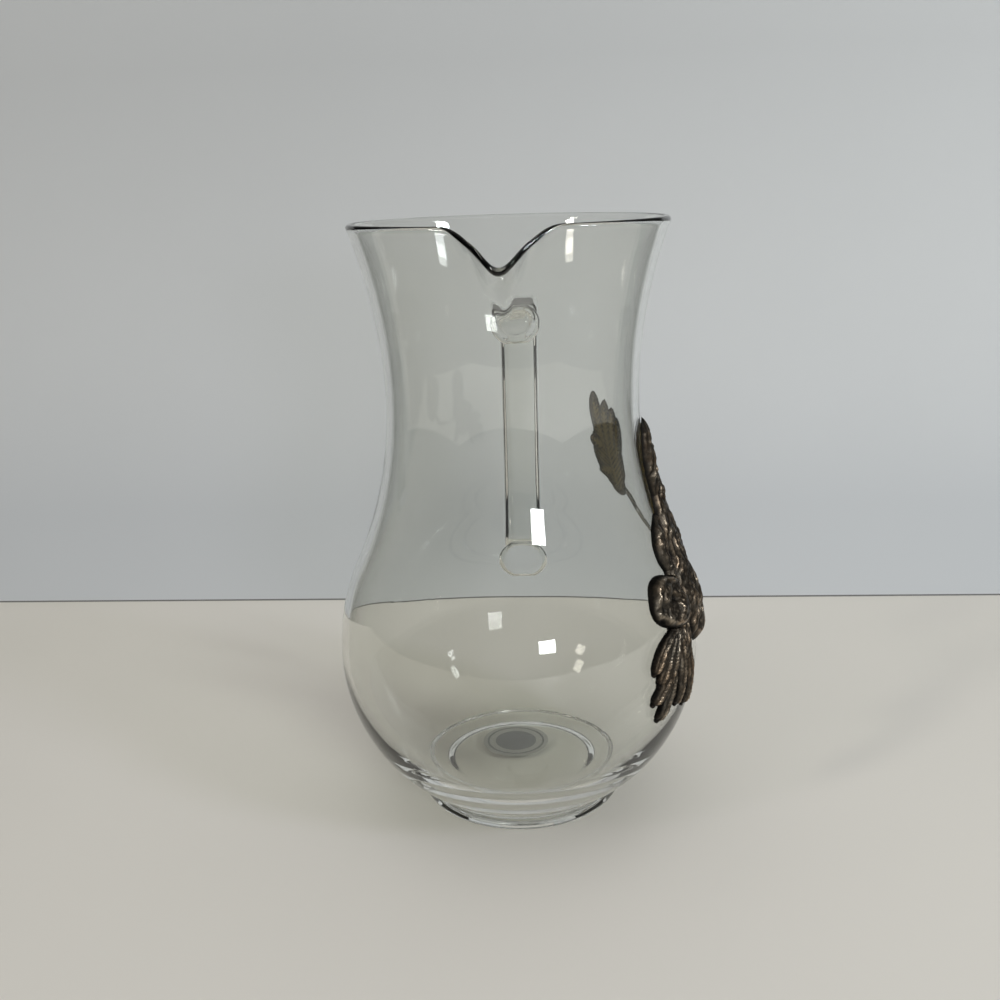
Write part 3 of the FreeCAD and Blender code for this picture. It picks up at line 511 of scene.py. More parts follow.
def wall_section():
    """The section below the neck: its outside going up and its inside going down."""
    hub_distance = UPPER_CURVE + WAIST_CURVE
    meeting = between(UPPER_HUB, WAIST_HUB, UPPER_CURVE / hub_distance)
    meeting_inside = between(UPPER_HUB, WAIST_HUB, (UPPER_CURVE - WALL) / hub_distance)
    foot_hub_radius = FOOT_RADIUS + FOOT_BLEND
    foot_hub = (foot_hub_radius, BELLY_HEIGHT - math.sqrt((LOWER_CURVE + FOOT_BLEND)**2
                                                          - (foot_hub_radius - LOWER_HUB[0])**2))
    foot_top = between(LOWER_HUB, foot_hub, LOWER_CURVE / (LOWER_CURVE + FOOT_BLEND))
    belly, belly_inside = (BELLY_RADIUS, BELLY_HEIGHT), (BELLY_RADIUS - WALL, BELLY_HEIGHT)
    waist, waist_inside = (WAIST_RADIUS, WAIST_HEIGHT), (WAIST_RADIUS - WALL, WAIST_HEIGHT)
    inner_curve = upright_curve(belly_inside[0] - FLOOR_RADIUS, BELLY_HEIGHT - FLOOR_HEIGHT)
    inner_hub = (belly_inside[0] - inner_curve, BELLY_HEIGHT)
    corner_height = FLOOR_HEIGHT + FLOOR_BLEND
    corner = (inner_hub[0] + math.sqrt((inner_curve - FLOOR_BLEND)**2 - (BELLY_HEIGHT - corner_height)**2),
              corner_height)
    corner_top = between(inner_hub, corner, inner_curve / (inner_curve - FLOOR_BLEND))
    corner_low = (corner[0], FLOOR_HEIGHT)
    foot_side = FOOT_RADIUS - FOOT_ROUND
    upward = np.concatenate([
        kick_points(),
        arc_points((foot_side, FOOT_ROUND), (foot_side, 0), (FOOT_RADIUS, FOOT_ROUND), SEAT_SPACING / 2),
        line_points((FOOT_RADIUS, FOOT_ROUND), (FOOT_RADIUS, foot_hub[1])),
        arc_points(foot_hub, (FOOT_RADIUS, foot_hub[1]), foot_top, SEAT_SPACING / 2),
        arc_points(LOWER_HUB, foot_top, belly),
        arc_points(UPPER_HUB, belly, meeting, SEAT_SPACING),
        arc_points(WAIST_HUB, meeting, waist),
        arc_points(RIM_HUB, waist, NECK_POINT, SEAT_SPACING),
    ])
    downward = np.concatenate([
        arc_points(RIM_HUB, NECK_INSIDE, waist_inside, SEAT_SPACING)[1:],
        arc_points(WAIST_HUB, waist_inside, meeting_inside),
        arc_points(UPPER_HUB, meeting_inside, belly_inside, SEAT_SPACING),
        arc_points(inner_hub, belly_inside, corner_top),
        arc_points(corner, corner_top, corner_low, SEAT_SPACING),
        line_points(corner_low, (0, FLOOR_HEIGHT), 2 * SECTION_SPACING),
        [(0, FLOOR_HEIGHT)],
    ])
    return upward, downward


# Azimuths of the sections in runs of (start, end, count), closer together at the spout and at the handle's seats.
AZIMUTH_RUNS = ((-27, 27, 108), (27, 164, 68), (164, 196, 54), (196, 333, 68))
# A low round button is pressed into the inside of the wall behind each seat.
SEAT_LENSES = (
    {"centre": 196.2, "width": 14.0, "height": 12.6, "depth": 3.6},
    {"centre": 76.9, "width": 16.4, "height": 14.0, "depth": 3.6},
)
LENS_ROUND = 0.32
# Points of the wall that lie this close to the edge of a weld or of a button are moved onto it, which smooths it.
SNAP_SHARE = 0.055
SEAT_ZONE = 20.0


def spread_about(points, oval, share=1.0):
    """How far points lie from the middle of an oval on the back wall, with 1 on the oval drawn in to a share."""
    across = points[..., 0] / (oval["width"] / 2 * share)
    along = (points[..., 2] - oval["centre"]) / (oval["height"] / 2 * share)
    return np.hypot(across, along)


def snap(points, near, spread, oval, offset):
    """Points near an oval are moved onto it, on a surface that stands off the outside by a distance."""
    height = oval["centre"] + (points[near, 2] - oval["centre"]) / spread[near]
    points[near] = on_back(points[near, 0] / spread[near], height, offset)


def body_mesh():
    """Points of the wall as a grid of azimuths and places along the section, and which of them are welded."""
    turns = np.concatenate([np.linspace(start, end, count, endpoint=False) for start, end, count in AZIMUTH_RUNS])
    upward, downward = wall_section()
    sections = np.array([np.concatenate([upward, lip_section(turn), downward]) for turn in turns])
    points = in_space(turns[:, None], sections[..., 0], sections[..., 1])
    outer = np.zeros(points.shape[:2], bool)
    outer[:, :len(upward) + LIP_POINTS] = True
    behind = (points[..., 1] > 0) & (np.abs(points[..., 0]) < SEAT_ZONE)
    welded = np.zeros(points.shape[:2], bool)
    for seat in (UPPER_SEAT, LOWER_SEAT):
        spread = spread_about(points, seat, WELD_SHARE)
        snap(points, outer & behind & (np.abs(spread - 1) < SNAP_SHARE), spread, seat, 0.0)
        welded |= outer & behind & (spread < 1 + SNAP_SHARE)
    for lens in SEAT_LENSES:
        spread = spread_about(points, lens)
        snap(points, ~outer & behind & (np.abs(spread - 1) < SNAP_SHARE), spread, lens, -WALL)
        inside = ~outer & behind & (spread < 1 - SNAP_SHARE)
        points[inside, 1] -= lens["depth"] * (1 - spread[inside]**2)**LENS_ROUND
    return points, welded


def turned_faces(welded):
    """Quads of the grid, with its two axis ends as fans, and which of them are welded."""
    rings = np.arange(welded.size).reshape(welded.shape).T
    after = np.roll(rings, -1, axis=1)
    quads = quads_between(rings[1:-1])
    under = np.stack([np.full(len(welded), rings[0, 0]), after[1], rings[1]], axis=-1)
    floor = np.stack([np.full(len(welded), rings[-1, 0]), rings[-2], after[-2]], axis=-1)
    slots = np.concatenate([welded.reshape(-1)[quads].all(axis=1), np.zeros(2 * len(welded))])
    return quads.tolist() + under.tolist() + floor.tolist(), slots


points, welded = body_mesh()
faces, slots = turned_faces(welded)
body = new_piece("vessel_glass", points.reshape(-1, 3), faces, [GLASS, WELD], slots)
dress(body, "glass_body")


# Cast spray: heights over the wall on a fine grid of azimuths and heights. Places are shares of the spray's spread
# about the axis and of its height, as in the CAD model.

SPRAY_START, SPRAY_END, SPRAY_BOTTOM, SPRAY_TOP = 44.0, 142.0, 52.0, 168.0
BOND, BOND_CLEARANCE = 0.5, 0.05
ROOT_DEPTH = 1.2
GRID_SPACING, GRID_MARGIN, ROUTE_MARGIN = 0.35, 4.0, 1.0
PIECE_GAP, THINNEST = 0.06, 0.01
LEAF_LOBE_WIDTH, LEAF_PALM_WIDTH, LEAF_RELIEF = 9.0, 27.0, 3.0
LEAF_STALK_WIDTH, LEAF_STALK_RELIEF = 5.0, 2.2
STRAND_WIDTH, STRAND_RELIEF, STRAND_SWING, STRAND_TURNS = 16.5, 5.6, 3.6, 1.5
STRAND_END_SHARE, STRAND_TIP_SHARE = 0.35, 0.02
ROUTE_POINTS, STRAND_POINTS = 80, 140
SPUR_WIDTH, SPUR_RELIEF = 17.0, 4.8
BUD_WIDTH, BUD_RELIEF = 11.0, 4.4
STEM_LEAF_WIDTH, STEM_LEAF_RELIEF = 8.5, 5.0
FINGER_WIDTH, FINGER_RELIEF = 5.8, 3.8
FRUIT_WIDTH, FRUIT_HEIGHT, FRUIT_RELIEF, FRUIT_LEAN = 24.5, 20.5, 6.2, 22.0
FRUIT_SQUARENESS = 2.7
LEAF_LOBE_SHARES = (
    ((0.878, 0.759), (0.929, 0.879), (0.949, 0.983)),
    ((0.857, 0.759), (0.872, 0.862), (0.864, 0.957)),
    ((0.827, 0.759), (0.821, 0.845), (0.804, 0.935)),
    ((0.806, 0.741), (0.781, 0.828), (0.761, 0.901)),
    ((0.867, 0.759), (0.934, 0.784), (0.988, 0.802)),
    ((0.847, 0.698), (0.903, 0.681), (0.957, 0.668)),
)
LEAF_PALM_SHARES = ((0.847, 0.625), (0.867, 0.759), (0.878, 0.897))
LEAF_STALK_SHARES = ((0.459, 0.466), (0.633, 0.483), (0.709, 0.513), (0.765, 0.582), (0.867, 0.664))
BRANCH_SHARES = ((0.408, 0.961), (0.408, 0.845), (0.398, 0.724), (0.388, 0.595), (0.367, 0.483), (0.347, 0.379),
                 (0.316, 0.276), (0.265, 0.207))
BRANCH_TAPER_SHARES = (0.62, 0.80, 0.90, 1.0, 1.0, 0.92, 0.65)
BRANCH_SPUR_SHARES = ((0.388, 0.603), (0.327, 0.440), (0.224, 0.276))
BUD_SHARES = ((0.276, 0.621), (0.224, 0.543), (0.230, 0.457))
STEM_LEAF_SHARES = ((0.378, 0.336), (0.418, 0.241), (0.418, 0.155))
FRUIT_SHARE = (0.146, 0.391)
FRUIT_PIT_SHARES = ((0.0, 0.1), (0.66, 0.5), (-0.5, -0.85))
FINGER_SHARES = (
    ((0.133, 0.302), (0.049, 0.259), (0.008, 0.200)),
    ((0.143, 0.302), (0.066, 0.224), (0.026, 0.153)),
    ((0.153, 0.293), (0.102, 0.224), (0.066, 0.138)),
    ((0.102, 0.190), (0.036, 0.138), (0.000, 0.097)),
    ((0.112, 0.190), (0.061, 0.095), (0.026, 0.030)),
    ((0.160, 0.295), (0.140, 0.155), (0.117, 0.052)),
    ((0.185, 0.290), (0.192, 0.140), (0.173, 0.026)),
)
# Webs are low beds of metal that join the lobes beside and below the fruit.
WEB_SHARES = ((0.205, 0.35), (0.185, 0.25), (0.13, 0.13))
WEB_WIDTH, WEB_RELIEF = 18.0, 3.6
BUD_WEB_SHARES = ((0.265, 0.53), (0.235, 0.47), (0.205, 0.41))
BUD_WEB_WIDTH, BUD_WEB_RELIEF = 11.0, 3.4
LOBE_TAPER_SHARES = ((0.0, 0.60), (0.2, 0.9), (0.45, 1.0), (0.7, 0.92), (0.88, 0.7), (0.97, 0.42), (1.0, 0.2))
FINGER_TAPER_SHARES = ((0.0, 0.60), (0.2, 0.85), (0.5, 1.0), (0.8, 1.0), (0.92, 0.92), (0.98, 0.75), (1.0, 0.55))
BELOW = -ROOT_DEPTH

AZIMUTH_GRID, HEIGHT_GRID = np.meshgrid(
    np.arange(SPRAY_START - GRID_MARGIN, SPRAY_END + GRID_MARGIN, math.degrees(GRID_SPACING / BELLY_RADIUS)),
    np.arange(SPRAY_BOTTOM - GRID_MARGIN, SPRAY_TOP + GRID_MARGIN, GRID_SPACING), indexing="ij")
WALL_GRID = in_space(AZIMUTH_GRID, outside(HEIGHT_GRID), HEIGHT_GRID)


HASH_FACTORS = np.array([73856093, 19349663, 83492791])
HASH_STIR, HASH_RANGE = 2654435761, 2**32
SEED_STEP = 17.31


def lumps(points, size, seed):
    """Smooth value noise from -1 to 1 over points, with lumps of a size."""
    place = np.asarray(points) / size + seed * SEED_STEP
    cell = np.floor(place).astype(np.int64)
    part = place - cell
    part = part * part * (3 - 2 * part)
    total = np.zeros(place.shape[:-1])
    for corner in np.ndindex(2, 2, 2):
        mixed = np.bitwise_xor.reduce((cell + np.array(corner)) * HASH_FACTORS, axis=-1)
        value = ((mixed * HASH_STIR) % HASH_RANGE) / HASH_RANGE * 2 - 1
        weight = np.prod(np.where(np.array(corner) == 1, part, 1 - part), axis=-1)
        total += value * weight
    return total


def roughness(points, *layers):
    """Lumps in layers, each with a height, a size and a seed."""
    return sum(height * lumps(points, size, seed) for height, size, seed in layers)


def spray_place(place):
    """Azimuth and height of a place on the spray."""
    return SPRAY_START + (SPRAY_END - SPRAY_START) * place[0], SPRAY_BOTTOM + (SPRAY_TOP - SPRAY_BOTTOM) * place[1]


def lengths_along(points):
    """Length of a line up to each of its points."""
    return np.concatenate([[0.0], np.cumsum(np.linalg.norm(np.diff(points, axis=0), axis=1))])


def spray_route(places, count=ROUTE_POINTS):
    """Azimuths and heights of a smooth route, a natural cubic spline, through places on the spray."""
    knots = np.array([spray_place(place) for place in places])
    steps = lengths_along(knots)
    steps /= steps[-1]
    gaps = np.diff(steps)
    slopes = np.diff(knots, axis=0) / gaps[:, None]
    system = np.eye(len(knots))
    right = np.zeros_like(knots)
    for row in range(1, len(knots) - 1):
        system[row, row - 1:row + 2] = gaps[row - 1], 2 * (gaps[row - 1] + gaps[row]), gaps[row]
        right[row] = 6 * (slopes[row] - slopes[row - 1])
    bends = np.linalg.solve(system, right)
    shares = np.linspace(0.0, 1.0, count)
    span = np.clip(np.searchsorted(steps, shares, side="right") - 1, 0, len(gaps) - 1)
    high = ((shares - steps[span]) / gaps[span])[:, None]
    low = 1 - high
    bulge = (low**3 - low) * bends[span] + (high**3 - high) * bends[span + 1]
    return low * knots[span] + high * knots[span + 1] + bulge * gaps[span, None]**2 / 6


def near_route(route, reach):
    """The grid's points within reach of a route: which they are, how far along, how far across, and the length."""
    line = in_space(route[:, 0], outside(route[:, 1]), route[:, 1])
    steps = lengths_along(line)
    low, high = route.min(axis=0), route.max(axis=0)
    margin = math.degrees(reach / outside(high[1]))
    near = ((AZIMUTH_GRID > low[0] - margin) & (AZIMUTH_GRID < high[0] + margin)
            & (HEIGHT_GRID > low[1] - reach) & (HEIGHT_GRID < high[1] + reach))
    points = WALL_GRID[near]
    normal = wall_normal(AZIMUTH_GRID[near], HEIGHT_GRID[near])
    best = np.full(len(points), np.inf)
    along, across = np.zeros(len(points)), np.zeros(len(points))
    for start, run, step in zip(line, np.diff(line, axis=0), steps):
        arm = points - start
        share = np.clip(arm @ run / (run @ run), 0.0, 1.0)
        off = arm - share[:, None] * run
        distance = np.linalg.norm(off, axis=1)
        side = np.sign(np.einsum("ij,ij->i", np.cross(run, off), normal))
        closer = distance < best
        best = np.where(closer, distance, best)
        along = np.where(closer, (step + share * np.linalg.norm(run)) / steps[-1], along)
        across = np.where(closer, side * distance, across)
    return near, along, across, steps[-1]


def arch(across, half_width, relief):
    """Height of an arch over the wall that stands on its root below the wall."""
    rise = relief + ROOT_DEPTH
    curve = (half_width**2 + rise**2) / (2 * rise)
    return np.where(np.abs(across) < half_width,
                    relief - curve + np.sqrt(np.maximum(curve**2 - across**2, 0.0)), BELOW)


def over_grid(near, across, half_width, relief, detail):
    """Heights over the whole grid of an arch, with detail that fades towards its sides."""
    raised = arch(across, half_width, relief)
    inner = np.clip(1 - (across / half_width)**2, 0.0, 1.0)
    heights = np.full(AZIMUTH_GRID.shape, BELOW)
    heights[near] = np.where(raised > BELOW, raised + inner * detail, BELOW)
    return heights


def lobe(places, width, relief, pattern, taper_shares=LOBE_TAPER_SHARES):
    """Heights of one lobe, with a pattern worked out from places along and across it."""
    near, along, across, length = near_route(spray_route(places), width / 2 + ROUTE_MARGIN)
    taper = np.interp(along, *np.transpose(taper_shares))
    detail = pattern(along * length, across, WALL_GRID[near])
    return over_grid(near, across, width / 2 * taper, relief * taper, detail)


def strand(phase):
    """Heights of one strand of the branch, which swings from side to side of its route."""
    route = spray_route(BRANCH_SHARES, STRAND_POINTS)
    near, along, across, length = near_route(route, STRAND_WIDTH / 2 + STRAND_SWING)
    taper = np.interp(along, np.linspace(0, 1, len(BRANCH_TAPER_SHARES)), BRANCH_TAPER_SHARES)
    offset = across - STRAND_SWING * taper * np.sin(2 * math.pi * STRAND_TURNS * along + phase)
    end_share = np.minimum(along, 1 - along) * length / (STRAND_WIDTH * STRAND_END_SHARE)
    size = taper * np.sqrt(np.clip(end_share, STRAND_TIP_SHARE, 1.0))
    detail = bark(along * length, offset, WALL_GRID[near])
    return over_grid(near, offset, STRAND_WIDTH / 2 * size, STRAND_RELIEF * size, detail)


# Patterns of the castings. Layers of roughness are (height, size, seed).
BARK_SLANT, BARK_SWAY, BARK_SWAY_LENGTH, BARK_WAVER = 0.3, 0.5, 3.7, (1.5, 7.0, 1)
BARK_HEIGHT, BARK_PITCH, BARK_SINK = 0.48, 2.8, 0.7
BARK_EVENNESS, BARK_FADE = 0.7, (0.6, 4.0, 12)
BARK_KNOTS = ((0.45, 1.7, 2), (0.85, 5.5, 3))
RIB_HEIGHT, RIB_WIDTH = 0.4, 0.7
VEIN_HEIGHT, VEIN_PITCH, VEIN_SLANT, VEIN_SINK, VEIN_GRAIN = 0.24, 2.1, 0.8, 0.2, (0.15, 2.0, 4)
RIDGE_HEIGHT, RIDGE_PITCH, RIDGE_SINK, RIDGE_GRAIN = 0.32, 2.0, 0.3, (0.40, 1.8, 5)
STROKE_HEIGHT, STROKE_PITCH = 0.16, 1.3
FURROW_DEPTH, FURROW_WIDTH, FURROW_SINK = 0.7, 0.9, 0.3
FURROW_GRAIN = ((0.5, 3.0, 6), (0.25, 1.4, 7))
FRUIT_SINK, FRUIT_EDGE_POWER, FRUIT_DOME_POWER = 1.5, 4, 0.4
FRUIT_RIM_HEIGHT, FRUIT_RIM_SHARE, FRUIT_RIM_WIDTH, FRUIT_RIM_WAVER = 0.45, 0.80, 0.09, (0.05, 5.0, 11)
FRUIT_GRAIN = ((1.1, 5.2, 8), (0.7, 2.3, 9), (0.35, 1.0, 10))
PIT_RADIUS, PIT_FALL = 2.7, 1.6


def wave(place, pitch):
    """A wave from -1 to 1 that repeats after each pitch."""
    return np.sin(2 * math.pi * place / pitch)


def bark(along, across, points):
    """Long wavering ridges with knots."""
    sway = BARK_SWAY * np.sin(along / BARK_SWAY_LENGTH)
    place = across + BARK_SLANT * along + roughness(points, BARK_WAVER) + sway
    ridges = BARK_HEIGHT * wave(place, BARK_PITCH) * (BARK_EVENNESS + roughness(points, BARK_FADE))
    return ridges + roughness(points, *BARK_KNOTS) - BARK_SINK


def veined(along, across, points):
    """A raised middle rib with slanting veins to both sides."""
    rib = RIB_HEIGHT * np.exp(-(across / RIB_WIDTH)**2)
    veins = VEIN_HEIGHT * wave(along - VEIN_SLANT * np.abs(across), VEIN_PITCH)
    return rib + veins + roughness(points, VEIN_GRAIN) - VEIN_SINK


def ribbed(along, across, points):
    """Ridges along a slim lobe, cut across by short strokes."""
    ridges = RIDGE_HEIGHT * wave(across + RIDGE_PITCH / 4, RIDGE_PITCH)
    strokes = STROKE_HEIGHT * wave(along + across, STROKE_PITCH)
    return ridges + strokes + roughness(points, RIDGE_GRAIN) - RIDGE_SINK


def furrowed(along, across, points):
    """A furrow down the middle between swelling sides."""
    furrow = FURROW_DEPTH * np.exp(-(across / FURROW_WIDTH)**2)
    return roughness(points, *FURROW_GRAIN) - furrow - FURROW_SINK


def fruit_heights():
    """A flattened dome with a low rim round its pitted, lumpy face."""
    azimuth, level = spray_place(FRUIT_SHARE)
    outward = wall_normal(azimuth, np.array(level))
    level_way = in_space(azimuth + 90, 1.0, 0.0)
    rise_way = np.cross(outward, level_way)
    lean = math.radians(FRUIT_LEAN)
    arm = WALL_GRID - in_space(azimuth, outside(level), level)
    across = arm @ (level_way * math.cos(lean) - rise_way * math.sin(lean)) / (FRUIT_WIDTH / 2)
    up = arm @ (level_way * math.sin(lean) + rise_way * math.cos(lean)) / (FRUIT_HEIGHT / 2)
    spread = (np.abs(across)**FRUIT_SQUARENESS + np.abs(up)**FRUIT_SQUARENESS)**(1 / FRUIT_SQUARENESS)
    inner = np.clip(1 - spread**FRUIT_EDGE_POWER, 0.0, 1.0)
    rim = np.exp(-((spread - FRUIT_RIM_SHARE - roughness(WALL_GRID, FRUIT_RIM_WAVER)) / FRUIT_RIM_WIDTH)**2)
    dome = (FRUIT_RELIEF - FRUIT_SINK) * inner**FRUIT_DOME_POWER + FRUIT_RIM_HEIGHT * rim
    dome += roughness(WALL_GRID, *FRUIT_GRAIN) * inner
    for x, y in FRUIT_PIT_SHARES:
        away = np.hypot((across - x) * FRUIT_WIDTH / 2, (up - y) * FRUIT_HEIGHT / 2)
        dome -= PIT_RADIUS * np.exp(-PIT_FALL * (away / PIT_RADIUS)**2)
    return np.where((spread < 1) & (arm @ outward > -FRUIT_WIDTH), np.maximum(dome, BOND + THINNEST), BELOW)


def blurred(heights, count):
    """Heights averaged over a square of neighbours."""
    kernel = np.ones(2 * count + 1) / (2 * count + 1)
    for axis in (0, 1):
        heights = np.apply_along_axis(lambda row: np.convolve(np.pad(row, count, mode="edge"), kernel, "valid"),
                                      axis, heights)
    return heights


CUT_MARGIN = 0.03


def outlined_cells(inside):
    """The grid's cells where inside is positive, cut along the outline.

    Returns the points as places on the grid, the whole cells, the cut cells and the edges of the outline.
    """
    within = inside > 0
    index = np.full(inside.shape, -1)
    index[within] = np.arange(within.sum())
    grid_places = np.argwhere(within).astype(float)
    crossing, added = {}, []

    def edge_point(a, b):
        key = (a, b) if a < b else (b, a)
        if key not in crossing:
            share = inside[key[0]] / (inside[key[0]] - inside[key[1]])
            crossing[key] = len(grid_places) + len(added)
            added.append(np.array(key[0]) + np.subtract(key[1], key[0]) * np.clip(share, CUT_MARGIN, 1 - CUT_MARGIN))
        return crossing[key]
    cells = np.stack([index[:-1, :-1], index[1:, :-1], index[1:, 1:], index[:-1, 1:]], axis=-1)
    corners = (cells >= 0).sum(axis=-1)
    cut, rim = [], []
    for i, j in zip(*np.nonzero((corners > 0) & (corners < 4))):
        ring = [(i, j), (i + 1, j), (i + 1, j + 1), (i, j + 1)]
        face, leaving, entering = [], [], []
        for here, there in zip(ring, ring[1:] + ring[:1]):
            if within[here]:
                face.append(int(index[here]))
            if within[here] != within[there]:
                face.append(edge_point(here, there))
                (leaving if within[here] else entering).append(face[-1])
        cut.append(face)
        rim.extend(zip(leaving, entering if len(entering) == 1 else entering[1:] + entering[:1]))
    return np.concatenate([grid_places, np.array(added).reshape(-1, 2)]), cells[corners == 4], cut, rim


def sampled(grid, places):
    """Values of a grid at places between its points."""
    low = np.minimum(np.floor(places).astype(int), np.array(grid.shape) - 2)
    part = places - low
    i, j = low.T
    u, v = part.T
    return (grid[i, j] * (1 - u) * (1 - v) + grid[i + 1, j] * u * (1 - v)
            + grid[i, j + 1] * (1 - u) * v + grid[i + 1, j + 1] * u * v)


def wall_piece(name, top, inside, low, material, attribute, values):
    """A closed piece on the wall, from its heights, the places inside its outline and the level of its back."""
    places, full, cut, rim = outlined_cells(inside)
    azimuth, level = sampled(AZIMUTH_GRID, places), sampled(HEIGHT_GRID, places)
    lift = np.maximum(sampled(np.maximum(top, low), places), low + THINNEST)
    count = len(places)
    points = np.concatenate([on_wall(azimuth, level, lift), on_wall(azimuth, level, np.full(count, low))])
    upper = full.tolist() + cut
    lower = [[corner + count for corner in reversed(face)] for face in upper]
    sides = [[first + count, second + count, second, first] for first, second in rim]
    return new_piece(name, points, upper + lower + sides, [material],
                     attribute=(attribute, np.tile(sampled(values, places), 2)))


# Each casting's value over its relief is high on its ridges, for rubbed wear, and low in its hollows, where it paints
# shade.
SHADE_AND_WEAR_CELLS, SHADE_AND_WEAR_LEVEL, SHADE_AND_WEAR_GAIN = 5, 0.42, 0.60
LEAST_COVER = 0.001
castings = {}


def casting(node, heights, over=()):
    """A casting from its heights, cut back from the castings that lie over it."""
    inside = heights - BOND
    for other in over:
        inside = np.minimum(inside, BOND - castings[other] - PIECE_GAP)
    castings[node] = heights
    cover = np.where(heights > BOND, 1.0, 0.0)
    level = blurred(heights * cover, SHADE_AND_WEAR_CELLS) / np.maximum(blurred(cover, SHADE_AND_WEAR_CELLS), LEAST_COVER)
    wear_and_shade = np.clip(SHADE_AND_WEAR_LEVEL + SHADE_AND_WEAR_GAIN * (heights - level), 0.0, 1.0)
    dress(wall_piece(f"{node}_cast", heights, inside, BOND, METAL, "wear_and_shade", wear_and_shade), node)


casting("fruit", fruit_heights())
casting("branch", np.maximum.reduce([
    strand(0.0), strand(math.pi), lobe(BRANCH_SPUR_SHARES, SPUR_WIDTH, SPUR_RELIEF, bark)]), ["fruit"])
casting("stem_leaf", lobe(STEM_LEAF_SHARES, STEM_LEAF_WIDTH, STEM_LEAF_RELIEF, furrowed), ["branch"])
casting("side_bud", np.maximum(
    lobe(BUD_SHARES, BUD_WIDTH, BUD_RELIEF, furrowed), lobe(BUD_WEB_SHARES, BUD_WEB_WIDTH, BUD_WEB_RELIEF, bark)),
    ["branch", "fruit"])
casting("lower_leaf", np.maximum.reduce(
    [lobe(WEB_SHARES, WEB_WIDTH, WEB_RELIEF, bark)]
    + [lobe(places, FINGER_WIDTH, FINGER_RELIEF, ribbed, FINGER_TAPER_SHARES) for places in FINGER_SHARES]),
    ["branch", "fruit", "stem_leaf"])
casting("upper_leaf", np.maximum.reduce(
    [lobe(LEAF_PALM_SHARES, LEAF_PALM_WIDTH, LEAF_RELIEF, veined),
     lobe(LEAF_STALK_SHARES, LEAF_STALK_WIDTH, LEAF_STALK_RELIEF, bark)]
    + [lobe(places, LEAF_LOBE_WIDTH, LEAF_RELIEF, veined) for places in LEAF_LOBE_SHARES]), ["branch"])


# Glue: one bed under all the castings, which stops short of their edges. It looks deeper under what stands proud.

MARGIN_CELLS, MARGIN_SHARE = 7, 0.86
DEPTH_GAIN, DEPTH_LOSS, DEPTH_RELIEF = 1.6, 0.9, 0.7
spread = np.maximum.reduce(list(castings.values())) - BOND
bed = np.full(spread.shape, BOND - BOND_CLEARANCE)
cover = blurred(np.where(spread > 0, 1.0, 0.0), MARGIN_CELLS)
relief = spread - blurred(spread, MARGIN_CELLS)
depth = np.clip(DEPTH_GAIN * blurred(cover, 2 * MARGIN_CELLS) - DEPTH_LOSS + DEPTH_RELIEF * relief, 0.0, 1.0)
glue = wall_piece("glue_bed", bed, cover - MARGIN_SHARE, BOND_CLEARANCE, GLUE, "depth", depth)
dress(glue, "adhesive")


# Label: a plain round sticker in the hollow of the underside, printed with a ring and a disc.

LABEL_CENTRE = (-3.0, 13.0)
LABEL_GAP, LABEL_THICKNESS = 0.02, 0.2
LABEL_TOP = KICK_DEPTH - LABEL_GAP
LABEL_LOW = LABEL_TOP - LABEL_THICKNESS
LABEL_RADII = (9.4, 12.2, 13.2, 15.0)
LABEL_PRINTED = (1, 0, 1, 0)
LABEL_STEPS, LABEL_SHARP_ANGLE = 96, 40


def label_mesh():
    """Rings from the middle of the sticker's top out to its edge, and back along its underside."""
    angles = np.linspace(2 * math.pi, 0, LABEL_STEPS, endpoint=False)
    levels = [(radius, LABEL_TOP) for radius in LABEL_RADII] + [(radius, LABEL_LOW) for radius in LABEL_RADII[::-1]]
    points = [(LABEL_CENTRE[0] + radius * math.cos(angle), LABEL_CENTRE[1] + radius * math.sin(angle), level)
              for radius, level in levels for angle in angles]
    disc, *bands = LABEL_PRINTED
    slots = [disc, *np.repeat([*bands, 0, *bands[::-1]], LABEL_STEPS), disc]
    return points, ring_faces(len(levels), LABEL_STEPS), slots


points, faces, slots = label_mesh()
label = new_piece("label_disc", points, faces, [FILM, PRINT], slots)
label.data.set_sharp_from_angle(angle=math.radians(LABEL_SHARP_ANGLE))
dress(label, "base_label")


# Stage: a pale table with a pale wall behind its far edge, in a room that is dark to the sides and paler overhead.
# The wall has painted light that makes it paler at its foot, and a thin dark strip along the table's far edge is
# painted shadow where the table meets the wall. The wall and the strip show from the front only.

WALL_Y, WALL_LEFT, WALL_RIGHT, WALL_LOW, WALL_TOP = 400.0, -480.0, 410.0, -800.0, 390.0
TABLE_HALF, TABLE_BACK, TABLE_LOW, GAP_SHADOW_TOP = 1000.0, 206.0, -0.3, 0.7
STAGE_SCALE = 3.0
TABLE_TONES = ((0.70, 0.675, 0.62), (0.73, 0.70, 0.645))
GAP_SHADOW_TONES = ((0.16, 0.16, 0.155), (0.20, 0.20, 0.195))
# WALL_FOOT is painted light: it makes the wall's colour paler towards its foot, where the lamps light it less.
WALL_TONES, WALL_FOOT = ((0.85, 0.87, 0.875), (0.88, 0.90, 0.905)), 1.55
PAINTED_LIGHT_START, PAINTED_LIGHT_END = 0.614, 0.957


